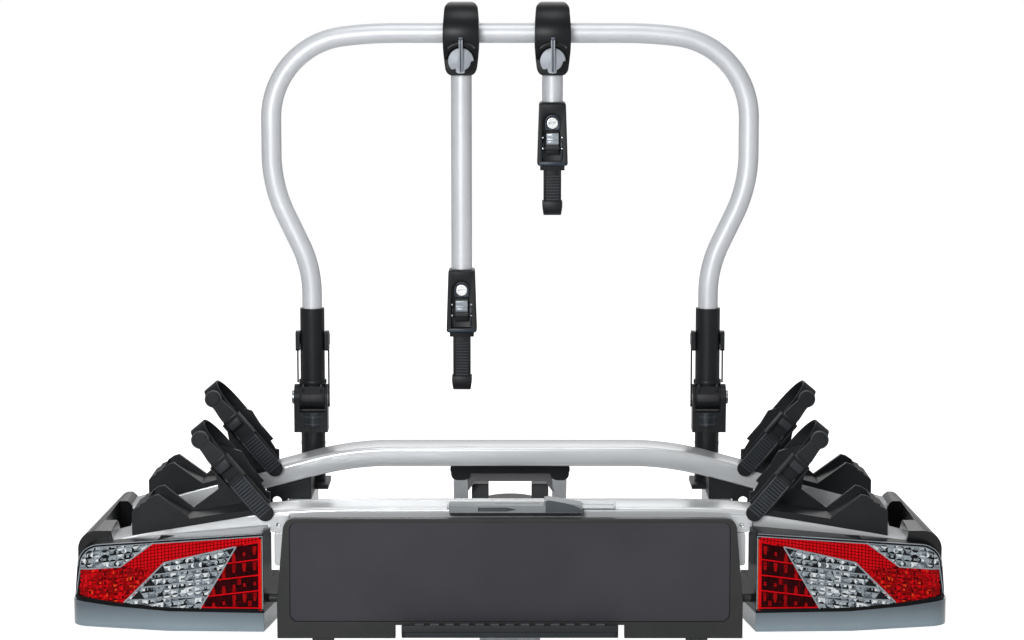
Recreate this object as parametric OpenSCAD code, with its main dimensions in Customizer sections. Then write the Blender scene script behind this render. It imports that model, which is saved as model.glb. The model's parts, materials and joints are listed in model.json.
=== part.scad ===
// Two-bike rack for a tow ball.
// The origin is the centre of the tow ball, X to the right, Y towards the towing car and Z up.
// The driver's side of the road is not fixed: the rack is symmetric but for its two frame holders
// and the number plate's catch.

/* [Tow ball coupling] */
// Diameter of the tow ball that the socket takes
ball_d = 50; // [44:0.5:56]
// Height of the straight clamping wall round the ball
socket_h = 24; // [16:1:28]
// Wall of the cast housing round the socket
housing_wall = 9; // [6:0.5:12]
// Thickness of the roof above the ball
roof_t = 8; // [5:0.5:12]
// Gap between the housing's half of the socket and the open jaw
jaw_slot = 3; // [2:0.5:5]
// Width between the outer faces of the two cheeks
cheek_span = 100; // [92:1:106]
// Thickness of one cheek
cheek_t = 22; // [18:1:24]
// Height of the cheeks above the ball centre
cheek_h = 66; // [50:1:70]
// Diameter of the two draw rods of the jaw
draw_rod_d = 10; // [7:0.5:12]

/* [Clamp lever] */
// Lever's pivot in front of the ball centre
lever_pivot_y = -52; // [-56:1:-50]
// Lever's pivot above the ball centre
lever_pivot_z = 30; // [28:1:34]
// Middle of the hand bar in front of the ball centre
lever_bar_y = -100; // [-104:1:-96]
// Middle of the hand bar above the ball centre
lever_bar_z = 82; // [78:1:86]
// Thickness of one lever arm
lever_arm_t = 18; // [12:1:20]
// Diameter of the lever's pivot pins
lever_pin_d = 12; // [8:0.5:14]
// Height of the grip moulding
lever_grip_h = 20; // [16:1:22]

/* [Slide frame] */
// Distance of a side beam's middle outside the U-bar's leg
beam_out = 11.5; // [10.5:0.5:14]
// Width of a side beam
beam_w = 30; // [28:1:34]
// Height of a side beam
beam_h = 40; // [36:1:44]
// Wall of a side beam
beam_wall = 3; // [2:0.5:4]
// Height of the side beams' top above the ball centre
beam_top_z = 68.5; // [67:0.5:68.5]
// Front end of the side beams
beam_front_y = -392; // [-396:1:-388]
// Rear end of the side beams
beam_rear_y = -55; // [-60:1:-54]
// Depth of the cross tube
cross_tube_w = 48; // [40:1:50]
// Height of the cross tube
cross_tube_h = 36; // [30:1:38]
// Length of the drawbar in front of the cross tube
drawbar_l = 85; // [80:1:90]

/* [Wheel rails] */
// Depth of a wheel rail's section
rail_w = 60; // [56:1:64]
// Height of a wheel rail's section
rail_h = 25; // [23:0.5:26]
// Wall of a wheel rail
rail_wall = 2.5; // [1.5:0.1:3]
// Radius of the wheel rails' long edges
rail_edge_r = 5; // [3.5:0.5:8]
// Distance between the two wheel rails
rail_pitch = 200; // [198:1:202]
// Middle of the rear rail in front of the ball centre
rear_rail_y = -155; // [-157:1:-155]
// Top of the front rail above the ball centre
front_rail_z = 98; // [98:0.5:99]
// Top of the rear rail above the ball centre
rear_rail_z = 135; // [132:0.5:138]
// Half length of the front rail's flat middle
front_flat = 185; // [180:1:190]
// Radius of the front rail's long bow
front_bow_r = 1130; // [1120:5:1150]
// Half length of the front rail
front_rail_x = 478; // [474:1:480]
// Half length of the rear rail's flat middle
rear_flat = 150; // [140:1:155]
// Radius of the rear rail's bends
rear_bend_r = 390; // [370:5:400]
// Slope of the rear rail's ends in degrees
rear_slope = 15; // [14:0.5:16]
// Half length of the rear rail
rear_rail_x = 490; // [486:1:492]

/* [Wheel trays] */
// Width of a wheel tray
tray_w = 65; // [64:1:68]
// Length of a wheel tray
tray_l = 160; // [156:1:164]
// Height of a tray's peak above its rail
tray_peak_h = 40; // [34:1:42]
// Thickness of a tray's side walls
tray_wall = 6; // [4:0.5:8]
// Inner end of the front trays beside the middle
front_tray_x = 291; // [289:1:293]
// Inner end of the rear trays beside the middle
rear_tray_x = 296; // [294:1:300]

/* [Wheel straps] */
// Width of a wheel strap
strap_w = 20; // [16:1:22]
// Thickness of a wheel strap
strap_t = 2.5; // [2:0.1:3]
// Length from the strap's tip to the top of its loop
strap_l = 130; // [124:1:136]
// Lean of the wheel straps towards their wheel in degrees
strap_lean = 40; // [36:1:42]
// Pitch of the ratchet ribs
rib_pitch = 3.6; // [3:0.1:5]
// Length of a strap's ratchet lever
strap_lever_l = 54; // [48:1:58]

/* [U-bar] */
// Diameter of the U-bar's tube
bar_d = 25.5; // [24:0.5:27]
// Wall of the U-bar's tube
bar_wall = 2; // [1.5:0.1:3]
// Height of the U-bar's top above the ball centre
bar_top_z = 652; // [600:2:680]
// Distance between the U-bar's legs
leg_span = 509; // [503:1:511]
// Plane of the upright U-bar
bar_y = -90; // [-92:1:-90]
// Height of the folding pivots above the ball centre
fold_z = 184; // [180:1:188]
// Radius of the top corners
corner_r = 105; // [98:1:110]
// Radius of the shoulders beside the straight top
shoulder_r = 525; // [480:5:560]
// Turn of the shoulders in degrees
shoulder_turn = 7.4; // [6:0.1:8]
// Radius of the outward bends above the sleeves
lower_bend_r = 151; // [140:1:160]
// Radius of the inward bends below the corners
upper_bend_r = 182; // [172:1:190]
// Slope of the legs between the bends in degrees
leg_slope = 25.5; // [23:0.5:27]
// Length of the legs' sloping part
slope_l = 41; // [34:1:46]
// Diameter of the sleeves
sleeve_d = 31.5; // [30:0.5:33]
// Height of the sleeves' top above the ball centre
sleeve_top_z = 300; // [290:1:304]

/* [Frame holders] */
// Place of the long holder along the bar
long_holder_x = -62; // [-66:1:-58]
// Place of the short holder along the bar
short_holder_x = 54; // [50:1:58]
// Diameter of the arm tubes
arm_d = 26.5; // [24:0.5:28]
// Height of the long arm's head above the ball centre
long_head_z = 351; // [340:1:370]
// Height of the short arm's head above the ball centre
short_head_z = 565; // [560:1:570]
// Width of the clamp shells
clamp_w = 44; // [42:1:46]
// Radius of the clamp shells round the bar
clamp_r = 39.5; // [37:0.5:41]
// Height of a head
head_h = 81; // [78:1:84]
// Width of a head at its lower end
head_w = 39; // [37:1:41]
// Width of the holders' straps
holder_strap_w = 22.5; // [20:0.5:24]
// Radius of the clamping knobs
knob_r = 16; // [14:0.5:17]

/* [Lamps] */
// Half width of the rack at the lamps
lamp_out_x = 523; // [521:1:524]
// Inner front edge of the lamps beside the middle
lamp_in_x = 291; // [291:1:293]
// Front of the lamps at their inner edge
lamp_front_y = -430; // [-434:1:-428]
// Sweep of the lamps' face towards the car
lamp_sweep = 28; // [24:1:30]
// Height of a lamp's inner upper corner above the ball centre
lamp_top_z = 76; // [74:0.5:78]
// Bottom of the lamps' covers
lamp_bottom_z = -43; // [-46:1:-41]
// Thickness of a lens
lens_t = 3; // [2:0.5:4]

/* [Number plate] */
// Width of the number plate
plate_w = 522; // [520:1:524]
// Height of the number plate
plate_h = 120; // [116:1:122]
// Thickness of the number plate
plate_t = 1.6; // [1:0.1:2]
// Width of the frame beside the plate
plate_side = 15.5; // [14:0.5:16]
// Top of the plate's frame above the ball centre
plate_frame_top_z = 90.5; // [90:0.5:91]
// Bottom of the plate's frame
plate_frame_bottom_z = -54; // [-56:1:-52]
// Front of the plate's frame
plate_front_y = -418; // [-420:1:-416]
// Thickness of the plate's frame
plate_frame_t = 10; // [8:0.5:11]
// Height of the plate's side hinge above the ball centre
plate_hinge_z = -9; // [-12:1:-6]

/* [Foot pedal] */
// Width of the pedal's tread
tread_w = 256; // [230:2:262]
// Front of the pedal's lip
tread_front_y = -441; // [-444:1:-438]
// Top of the pedal's lip above the ball centre
tread_top_z = -33; // [-36:1:-32]
// Pedal's pivot in front of the ball centre
pedal_pivot_y = -345; // [-347:1:-343]
// Pedal's pivot below the ball centre
pedal_pivot_z = -30; // [-32:1:-28]

/* [Hidden] */
// Smoothness of round shapes
$fn = 64;
// Overrun of every cut
cut = 1;
// Gap between neighbours that are fixed to each other
seat = 0.3;
// Gap between neighbours that slide or turn past each other
run = 0.5;
// Radial clearance of a shaft in its bore
fit = 0.05;
// Bands that join the runs and bends of a swept tube
band_l = 1;
band_t = 0.05;
band_gap = 0.1;

// Coupling
ball_r = ball_d / 2;
socket_r = ball_r + fit;
housing_r = socket_r + housing_wall;
housing_top_z = ball_r + roof_t;
housing_bottom_z = -socket_h / 2;
housing_front_y = lever_pivot_y - 2 * housing_wall - 12 * cut;
cheek_x = cheek_span / 2;
cheek_rear_y = lever_pivot_y + lever_pin_d;
cheek_bottom_z = -2 * draw_rod_d;
draw_rod_x = cheek_x - cheek_t / 2 + 3 * cut;
draw_rod_l = 78;
jaw_lug_w = 14;
jaw_lug_h = 18;
jaw_lug_l = 16;
pin_head_t = 3;
pin_head_r = lever_pin_d * 0.75;

// Clamp lever
lever_arm_x = cheek_x + 5;
lever_eye_r = 14;
lever_top_r = 9;
lever_bar_t = 10;
lever_bar_h = 12;
lever_gusset = 14;
grip_wall = 4;
grip_lobe = 9;

// Slide frame
beam_x = leg_span / 2 + beam_out;
beam_mid_z = beam_top_z - beam_h / 2;
beam_edge_r = 4;
cross_tube_rear_y = housing_front_y - seat;
cross_tube_y = cross_tube_rear_y - cross_tube_w / 2;
cross_tube_z = -10;
cross_tube_wall = 3;
cross_tube_l = 2 * beam_x + beam_w;
guide_play = 2;
guide_w = beam_w - 2 * beam_wall - 2 * guide_play;
guide_h = beam_h - 2 * beam_wall - 2 * guide_play;
guide_wall = 3;
guide_front_y = beam_front_y + 17;
guide_plate_t = 12;
guide_plate_y = beam_rear_y + run + 4;
guide_foot_t = 6;
pad_l = 30;
pad_play = 0.2;
drawbar_w = 30;
drawbar_h = 24;
drawbar_z = cross_tube_z - 4;
fork_wall = 5;
fork_l = 36;
striker_d = 10;
striker_back = 10;
striker_y = cross_tube_y - cross_tube_w / 2 - drawbar_l + striker_back;
crossmember_w = 30;
crossmember_wall = 2.5;
crossmember_y = pedal_pivot_y;
crossmember_z = beam_mid_z;
ear_t = 5;
ear_x = 40;
ear_r = 11;

// Wheel rails
front_rail_y = rear_rail_y - rail_pitch;
front_bow_turn = asin((front_rail_x - front_flat) / front_bow_r);
rear_straight_x = rear_flat + rear_bend_r * sin(rear_slope);
rear_straight_l = (rear_rail_x - rear_straight_x) / cos(rear_slope);
rear_drop = rear_bend_r * (1 - cos(rear_slope));
bracket_gusset_w = 27;
bracket_gusset_t = 8;
bracket_gusset_h = 34;
bracket_hole_r = 6;

// Wheel trays: shares of the length outwards and of the peak's height
tray_outline_shares = [[0, -0.05], [0, 0.1], [0.36, 0.1], [0.575, 0.1], [0.8, 1], [0.84, 1],
    [0.89, 0.92], [0.89, 0.87], [0.94, 0.84], [0.94, 0.78], [0.985, 0.73], [1, 0.66], [1, -0.05]];
tray_groove_shares = [[0.22, 0.07], [0.6, 0.07], [0.83, 0.8], [0.87, 0.8], [0.9, 1.2], [0.22, 1.2]];
tray_fin_shares = [[0, 0.05], [0, 0.3], [0.22, 0.66], [0.36, 0.66], [0.62, 0.05]];
tray_skirt = 2;
tray_rib_t = 2;
tray_ribs = 3;

// Wheel straps
strap_near_y = rail_w / 2 + 12;
strap_far_y = rail_w / 2 + 6;
strap_loop_r = (strap_near_y + strap_far_y) / 2;
strap_mid_y = (strap_far_y - strap_near_y) / 2;
strap_bend_z = strap_l - strap_loop_r;
rib_t = 1;
rib_w = 1.8;
tail_l = 48;
strap_buckle_z = 52;
strap_buckle_l = 32;
strap_buckle_t = 2.5;
strap_buckle_d = 12;
strap_pivot_z = 74;
strap_pivot_out = 5;
strap_pin_d = 4;
strap_cam_r = 4;
paddle_t = 4;
paddle_r = 10.7;
thumb_r = 7.5;
thumb_t = 0.8;
tongue_l = 46;
guard_l = 62;
guard_lift = 30;
guard_t = 4;
guard_w = 27;
guard_foot = 12;

// U-bar
leg_x = leg_span / 2;
bar_r = bar_d / 2;
sleeve_r = sleeve_d / 2;
corner_turn = 90 - shoulder_turn;
wide_x = leg_x + (lower_bend_r + upper_bend_r) * (1 - cos(leg_slope)) + slope_l * sin(leg_slope);
corner_x = wide_x - corner_r * (1 - cos(corner_turn));
straight_x = corner_x - shoulder_r * sin(shoulder_turn);
corner_z = bar_top_z - shoulder_r * (1 - cos(shoulder_turn)) - corner_r * sin(corner_turn);
sleeve_bottom_z = fold_z + sleeve_r;
sleeve_seat_z = sleeve_bottom_z + 10;
lower_bend_z = sleeve_top_z + 18;
slope_z = lower_bend_z + lower_bend_r * sin(leg_slope);
upper_bend_z = slope_z + slope_l * cos(leg_slope);
upper_end_z = upper_bend_z + upper_bend_r * sin(leg_slope);
knuckle_w = sleeve_d;
knuckle_r = sleeve_r + 0.2;
fold_pin_d = 12;
fold_ear_r = 17;
outer_ear_t = 7.4;
inner_ear_t = 3;
ear_gap = 0.4;
foot_plate_t = 6;
foot_plate_w = 47;
foot_plate_l = 63;
foot_ring_z = 126;
foot_neck_z = 153;
foot_ring_t = 3;
foot_web_h = 26;

// Fold release
release_t = 5.2;
release_gap = 0.5;
release_l = 25;
release_z = 245;
release_d = 17;
release_back_h = 14;
release_back_t = 3;
release_rod_d = 2.2;
release_rod_gap = 0.3;
release_rod_end_z = fold_z + fold_ear_r + 2;
release_hook_z = 172;

// Frame holders
liner_t = 3.5;
liner_r = bar_r + fit + liner_t;
clamp_bore_r = liner_r + fit;
clamp_drop = 53;
clamp_body_d = 24;
clamp_corner_r = 9;
clamp_step = 4;
arm_top_z = bar_top_z - clamp_bore_r - 6;
arm_wall = 2;
arm_seat = 12;
knob_z = bar_top_z - 34;
knob_t = 11;
knob_stem_d = 8;
wing_w = 5;
wing_out = 13;
wing_up = 30;
head_top_w = 34;
head_front = 20;
head_back = 15;
head_corner_r = 4;
pocket_w = 27;
pocket_l = 66;
pocket_d = 13;
pocket_edge = 6;
lock_drop = 27;
lock_d = 14.4;
lock_out = 5;
lock_l = 20;
keyway_w = 2;
keyway_l = 8;
keyway_t = 2;
buckle_pivot_drop = 59;
buckle_pivot_in = 7;
buckle_w = 16;
buckle_l = 20;
buckle_t = 5;
buckle_pin_d = 4;
thumb_l = 15;
thumb_raise = 2.5;
collar_h = 6;
collar_w = 31;
collar_d = 24;
holder_strap_t = 2.8;
holder_strap_gap = 8;
holder_loop_h = 14;
holder_loop_w = 26;
long_strap_z = 195;
short_strap_z = 421;

// Lamps
lamp_face_y = lamp_front_y + lamp_sweep;
lamp_corner_r = 22;
lamp_rear_y = front_rail_y - rail_w / 2 - 3.5;
lamp_back_y = front_rail_y + 5;
lamp_box_top_z = 14;
lamp_taper = 12;
lamp_wall = 3;
lamp_round_r = 29;
lamp_round_x = lamp_out_x - 7 - lamp_round_r;
lamp_round_z = lamp_round_r;
lamp_seam_shares = [[0, -0.264], [0.49, -0.285], [0.75, -0.23], [1, -0.13]];
bezel = 4.5;
lens_inset = 2;
lens_gap = 0.3;
reflector_gap = 4;
reflector_t = 2.5;
reflector_steps = 4;
cover_wall = 3;

// Number plate
plate_frame_w = plate_w + 2 * plate_side;
plate_frame_top_w = plate_frame_w - plate_side + cut / 2;
plate_frame_r = 14;
plate_rim = 4;
plate_recess = 4;
plate_mid_z = (plate_frame_top_z - plate_rim - 0.5 + plate_frame_top_z - plate_rim - 0.5 - plate_h) / 2;
plate_notch_w = tread_w + 4 * plate_recess;
plate_notch_z = -38;
plate_foot_w = 26;
plate_foot_t = 5;
plate_foot_h = 3;
plate_pin_r = 5;
plate_pin_l = 19;
plate_hinge_in = 18;
plate_hinge_y = plate_front_y + plate_hinge_in;
plate_back_rib_h = 5;

// Foot pedal
tread_t = 4;
tread_back_y = plate_hinge_y;
tread_h = 16;
tread_bottom_z = tread_top_z - tread_h;
tread_rib_w = 3;
tread_rib_h = 1.5;
tread_ribs = 5;
journal_r = 5;
rocker_arm_x = 30;
rocker_arm_t = 6;
rocker_r = 9;
hook_t = 10;
hook_nose = 9;
hook_r = 6;
hook_gap = 2;
spring_wire = 2.4;
spring_turns = 6;
spring_steps = 8;
spring_r = (journal_r + seat) / cos(180 / spring_steps) + spring_wire / 2;
spring_sides = 6;
spring_x = 7;
spring_pitch = 2.9;

// Number plate catch
latch_x0 = -72;
latch_x1 = 42;
latch_x2 = 86;
latch_y0 = -402;
latch_y1 = -372;
latch_t = 3;
latch_low_z = 91.5;
wedge_top_z = 110;
arrow_l = 48;
arrow_w = 3;
arrow_head = 6;
arrow_deep = 0.6;

// Fascias and side covers
fascia_w = 25;
fascia_h = 20.5;
fascia_drop = 3.7;
fascia_t = 8;
fascia_r = 9;
cover_front_r = 22;
cover_rear_r = 12;
cover_front_x = 516;
cover_rear_x = 501;
cover_front_z = 70;
cover_rear_z = 66;
cover_h = 48;
cover_front_in = 40;
cover_rear_in = 16;
cover_end_t = 24;
cover_slice = 2;

// Heights of the rails' tops beside the middle
function bow_z(x, flat, r) = -r + sqrt(r * r - pow(max(x - flat, 0), 2));
function front_top(x) = front_rail_z + bow_z(x, front_flat, front_bow_r);
function rear_top(x) = x < rear_straight_x ? rear_rail_z + bow_z(x, rear_flat, rear_bend_r)
    : rear_rail_z - rear_drop - (x - rear_straight_x) * tan(rear_slope);
function rear_under(x) = rear_top(x) - rail_h / cos(rear_slope);

// General helpers
module both_sides() {
    children();
    mirror([1, 0, 0]) children();
}

module left_side() {
    mirror([1, 0, 0]) children();
}

module along_x(x0, x1) {
    translate([x0, 0, 0]) rotate([90, 0, 90]) linear_extrude(height = x1 - x0) children();
}

module along_y(y0, y1) {
    translate([0, y1, 0]) rotate([90, 0, 0]) linear_extrude(height = y1 - y0) children();
}

module along_z(z0, z1) {
    translate([0, 0, z0]) linear_extrude(height = z1 - z0) children();
}

module block(low, high) {
    translate(low) cube(high - low);
}

module rounded_rect(w, h, r) {
    square([w - 2 * r, h], center = true);
    square([w, h - 2 * r], center = true);
    for (x = [-1, 1], y = [-1, 1])
        translate([x * (w / 2 - r), y * (h / 2 - r)]) circle(r);
}

module box_tube(w, h, r, wall) {
    difference() {
        rounded_rect(w, h, r);
        rounded_rect(w - 2 * wall, h - 2 * wall, max(r - wall, wall / 4));
    }
}

// A flat link with round ends from p to q
module link(p, q, rp, rq) {
    d = q - p;
    n = [-d[1], d[0]] / norm(d);
    translate(p) circle(rp);
    translate(q) circle(rq);
    polygon([p + n * rp, p - n * rp, q - n * rq, q + n * rq]);
}

// Coupling
module coupling_housing() {
    color([0.16, 0.17, 0.18]) difference() {
        union() {
            along_z(housing_bottom_z, housing_top_z) circle(housing_r);
            block([-housing_r, housing_front_y, housing_bottom_z], [housing_r, 0, ball_r]);
            both_sides() along_x(cheek_x - cheek_t, cheek_x) cheek_outline();
            block([-cheek_x, housing_front_y, cheek_bottom_z], [cheek_x, cheek_rear_y, 0]);
        }
        sphere(socket_r);
        along_z(cheek_bottom_z - cut, 0) circle(socket_r);
        block([-housing_r - cut, jaw_slot / 2, housing_bottom_z - cut], [housing_r + cut, housing_r + cut, ball_r + seat]);
        both_sides() {
            translate([draw_rod_x, 0, 0]) rotate([90, 0, 0])
                translate([0, 0, -cheek_rear_y - cut]) cylinder(r = draw_rod_d / 2 + fit, h = draw_rod_l);
            translate([cheek_x - cheek_t - cut, lever_pivot_y, lever_pivot_z]) rotate([0, 90, 0])
                cylinder(r = lever_pin_d / 2 + fit, h = cheek_t + 2 * cut);
        }
    }
}

module cheek_outline() {
    y0 = housing_front_y;
    polygon([[y0, cheek_bottom_z], [cheek_rear_y, cheek_bottom_z], [cheek_rear_y, lever_pivot_z],
        [cheek_rear_y - lever_pin_d, cheek_h], [y0 + lever_pin_d, cheek_h], [y0, lever_pivot_z]]);
}

module coupling_pins() {
    color([0.7, 0.71, 0.72]) both_sides() translate([0, lever_pivot_y, lever_pivot_z]) rotate([0, 90, 0]) {
        translate([0, 0, cheek_x - cheek_t]) cylinder(r = lever_pin_d / 2, h = cheek_t + lever_arm_t + 5 + seat);
        translate([0, 0, lever_arm_x + lever_arm_t + seat]) cylinder(r = pin_head_r, h = pin_head_t);
    }
}

module clamp_jaw() {
    color([0.3, 0.31, 0.32]) {
        difference() {
            union() {
                along_z(housing_bottom_z, ball_r) circle(housing_r);
                both_sides() block([housing_r - housing_wall, jaw_slot / 2 + cut, -jaw_lug_h / 2],
                    [draw_rod_x + jaw_lug_w / 2, jaw_slot / 2 + cut + jaw_lug_l, jaw_lug_h / 2]);
            }
            sphere(socket_r);
            along_z(housing_bottom_z - cut, 0) circle(socket_r);
            block([-housing_r - cut, -housing_r - cut, housing_bottom_z - cut],
                [housing_r + cut, jaw_slot / 2 + cut, ball_r + cut]);
        }
        both_sides() translate([draw_rod_x, jaw_slot / 2 + 2 * cut, 0]) rotate([90, 0, 0])
            cylinder(r = draw_rod_d / 2, h = draw_rod_l - 10);
    }
}

module lever_frame() {
    pivot = [lever_pivot_y, lever_pivot_z];
    top = [lever_bar_y, lever_bar_z];
    color([0.72, 0.73, 0.74]) {
        difference() {
            both_sides() along_x(lever_arm_x, lever_arm_x + lever_arm_t) link(pivot, top, lever_eye_r, lever_top_r);
            both_sides() translate([lever_arm_x - cut, lever_pivot_y, lever_pivot_z]) rotate([0, 90, 0])
                cylinder(r = lever_pin_d / 2 + fit, h = lever_arm_t + 2 * cut);
        }
        along_x(-lever_arm_x, lever_arm_x) translate(top) square([lever_bar_t, lever_bar_h], center = true);
        both_sides() along_y(lever_bar_y - lever_bar_t / 2, lever_bar_y + lever_bar_t / 2)
            polygon([[lever_arm_x, lever_bar_z], [lever_arm_x - lever_gusset, lever_bar_z],
                [lever_arm_x, lever_bar_z - lever_gusset - lever_bar_h / 2]]);
    }
}

module lever_grip() {
    top_z = lever_bar_z + lever_bar_h / 2;
    out_x = lever_arm_x + lever_arm_t + grip_wall;
    color([0.12, 0.13, 0.14]) difference() {
        union() {
            along_y(lever_bar_y - lever_top_r - grip_wall, lever_bar_y + lever_top_r + grip_wall) {
                translate([0, top_z + lever_grip_h / 4]) rounded_rect(2 * out_x, lever_grip_h / 2, grip_wall);
                both_sides() translate([lever_arm_x + lever_arm_t / 2, top_z])
                    rounded_rect(lever_arm_t + 2 * grip_wall - 2 * cut, lever_grip_h - 2 * cut, grip_lobe - cut);
            }
        }
        both_sides() along_x(lever_arm_x - seat, lever_arm_x + lever_arm_t + seat)
            link([lever_pivot_y, lever_pivot_z], [lever_bar_y, lever_bar_z], lever_eye_r, lever_top_r + seat);
        along_x(-lever_arm_x - cut, lever_arm_x + cut) translate([lever_bar_y, lever_bar_z])
            square([lever_bar_t + 2 * seat, lever_bar_h + 2 * seat], center = true);
    }
}

// Slide frame that stays with the car
module base_frame() {
    tube_front_y = cross_tube_y - cross_tube_w / 2;
    tube_top_z = cross_tube_z + cross_tube_h / 2;
    plate_rear_y = guide_plate_y + guide_plate_t;
    color([0.2, 0.21, 0.22]) {
        along_x(-cross_tube_l / 2, cross_tube_l / 2) translate([cross_tube_y, cross_tube_z])
            box_tube(cross_tube_w, cross_tube_h, beam_edge_r, cross_tube_wall);
        both_sides() {
            block([beam_x - guide_w / 2, tube_front_y, tube_top_z], [beam_x + guide_w / 2, plate_rear_y, tube_top_z + guide_foot_t]);
            block([beam_x - guide_w / 2, guide_plate_y, tube_top_z], [beam_x + guide_w / 2, plate_rear_y, beam_mid_z + guide_h / 2]);
            translate([beam_x, 0, beam_mid_z]) along_y(guide_front_y, guide_plate_y + cut)
                box_tube(guide_w, guide_h, beam_edge_r / 2, guide_wall);
        }
        difference() {
            block([-drawbar_w / 2, tube_front_y - drawbar_l, drawbar_z - drawbar_h / 2],
                [drawbar_w / 2, tube_front_y, drawbar_z + drawbar_h / 2]);
            block([-drawbar_w / 2 + fork_wall, tube_front_y - drawbar_l - cut, drawbar_z - drawbar_h / 2 - cut],
                [drawbar_w / 2 - fork_wall, tube_front_y - drawbar_l + fork_l, drawbar_z + drawbar_h / 2 + cut]);
        }
        translate([-drawbar_w / 2, striker_y, drawbar_z]) rotate([0, 90, 0]) cylinder(r = striker_d / 2, h = drawbar_w);
    }
}

module guide_pads() {
    color([0.85, 0.85, 0.82]) both_sides() translate([beam_x, 0, beam_mid_z]) along_y(guide_front_y, guide_front_y + pad_l)
        difference() {
            rounded_rect(beam_w - 2 * beam_wall - 2 * pad_play, beam_h - 2 * beam_wall - 2 * pad_play, beam_edge_r / 2);
            rounded_rect(guide_w + 2 * fit, guide_h + 2 * fit, beam_edge_r / 2 + fit);
        }
}

// Platform that slides out
module side_beams() {
    color([0.75, 0.76, 0.77]) both_sides() translate([beam_x, 0, beam_mid_z]) {
        along_y(beam_front_y + beam_wall, beam_rear_y) box_tube(beam_w, beam_h, beam_edge_r, beam_wall);
        along_y(beam_front_y, beam_front_y + beam_wall) rounded_rect(beam_w, beam_h, beam_edge_r);
    }
}

module crossmember() {
    x = beam_x - beam_w / 2 - seat;
    color([0.2, 0.21, 0.22]) {
        along_x(-x, x) translate([crossmember_y, crossmember_z])
            box_tube(crossmember_w, crossmember_w, beam_edge_r, crossmember_wall);
        difference() {
            both_sides() along_x(ear_x, ear_x + ear_t)
                link([pedal_pivot_y, pedal_pivot_z], [crossmember_y, crossmember_z - crossmember_w / 2], ear_r, ear_r);
            along_x(-ear_x - ear_t - cut, ear_x + ear_t + cut)
                translate([pedal_pivot_y, pedal_pivot_z]) circle(journal_r + fit);
            along_x(-ear_x - ear_t - cut, ear_x + ear_t + cut) translate([crossmember_y, crossmember_z])
                square(crossmember_w - crossmember_wall, center = true);
        }
    }
}

// A wheel rail along its flat middle, its bends and its straight ends. The runs stop just short of
// each other inside a thin band of the same section, which joins them.
module on_arc(flat, r, turn) {
    translate([flat, 0, -r]) rotate([0, turn, 0]) translate([0, 0, r]) children();
}

module rail_run(x0, x1) {
    translate([x0, 0, 0]) rotate([0, 90, 0]) linear_extrude(height = x1 - x0) children();
}

module rail_bend(flat, r, turn) {
    gap_turn = band_gap / r * 180 / PI;
    translate([flat, 0, -r]) rotate([90, 0, 0]) rotate([0, 0, 90 - turn + gap_turn])
        rotate_extrude(angle = turn - 2 * gap_turn, $fn = 180) translate([r, 0]) children();
}

module rail_sweep(flat, r, turn, end_l) {
    rail_run(band_gap - flat, flat - band_gap) rail_section(0);
    both_sides() {
        rail_bend(flat, r, turn) rail_section(0);
        on_arc(flat, r, 0) rail_run(-band_l, band_l) rail_section(band_t);
        if (end_l > 0)
            on_arc(flat, r, turn) {
                rail_run(-band_l, band_l) rail_section(band_t);
                rail_run(band_gap, end_l) rail_section(0);
            }
    }
}

module rail_section(grow) {
    difference() {
        rounded_rect(rail_h + 2 * grow, rail_w + 2 * grow, rail_edge_r + grow);
        rounded_rect(rail_h - 2 * rail_wall - 2 * grow, rail_w - 2 * rail_wall - 2 * grow, rail_edge_r - rail_wall - grow);
    }
}

// The room that a rail takes, with a gap all round, for one side
module rail_room(flat, r, turn, end_l, gap) {
    translate([flat - rail_w, 0, 0]) rotate([0, 90, 0]) linear_extrude(height = rail_w + seat) rail_outline(gap);
    translate([flat, 0, -r]) rotate([90, 0, 0]) rotate([0, 0, 90 - turn])
        rotate_extrude(angle = turn, $fn = 180) translate([r, 0]) rail_outline(gap);
    if (end_l > 0) on_arc(flat, r, turn) rail_run(-seat, end_l) rail_outline(gap);
}

module rail_outline(gap) {
    rounded_rect(rail_h + 2 * gap, rail_w + 2 * gap, rail_edge_r + gap);
}

module front_rail_room(gap) {
    translate([0, front_rail_y, front_rail_z - rail_h / 2])
        rail_room(front_flat, front_bow_r - rail_h / 2, front_bow_turn, 0, gap);
}

module rear_rail_room(gap) {
    translate([0, rear_rail_y, rear_rail_z - rail_h / 2])
        rail_room(rear_flat, rear_bend_r - rail_h / 2, rear_slope, rear_straight_l, gap);
}

module front_rail() {
    color([0.78, 0.79, 0.79]) translate([0, front_rail_y, front_rail_z - rail_h / 2])
        rail_sweep(front_flat, front_bow_r - rail_h / 2, front_bow_turn, 0);
}

module rear_rail() {
    color([0.78, 0.79, 0.79]) translate([0, rear_rail_y, rear_rail_z - rail_h / 2])
        rail_sweep(rear_flat, rear_bend_r - rail_h / 2, rear_slope, rear_straight_l);
}

module rail_brackets() {
    x0 = beam_x - beam_w / 2;
    x1 = beam_x + beam_w / 2;
    x2 = x1 + bracket_gusset_w;
    z0 = beam_top_z + seat;
    y0 = rear_rail_y - rail_w / 2;
    color([0.13, 0.14, 0.15]) both_sides() {
        along_y(y0, y0 + rail_w) polygon([[x0, z0], [x1, z0], [x1, rear_under(x1) - seat], [x0, rear_under(x0) - seat]]);
        difference() {
            along_y(y0, y0 + bracket_gusset_t) polygon([[x1 + seat, z0 - bracket_gusset_h / 2], [x2 - bracket_gusset_t, z0 - bracket_gusset_h / 2],
                [x2, rear_under(x2) - seat], [x1 - cut, rear_under(x1 - cut) - seat], [x1 - cut, z0], [x1 + seat, z0]]);
            translate([x2 - bracket_gusset_w / 2, y0 + bracket_gusset_t + cut, z0 - bracket_hole_r / 2]) rotate([90, 0, 0])
                cylinder(r = bracket_hole_r, h = bracket_gusset_t + 2 * cut);
        }
    }
}

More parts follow.
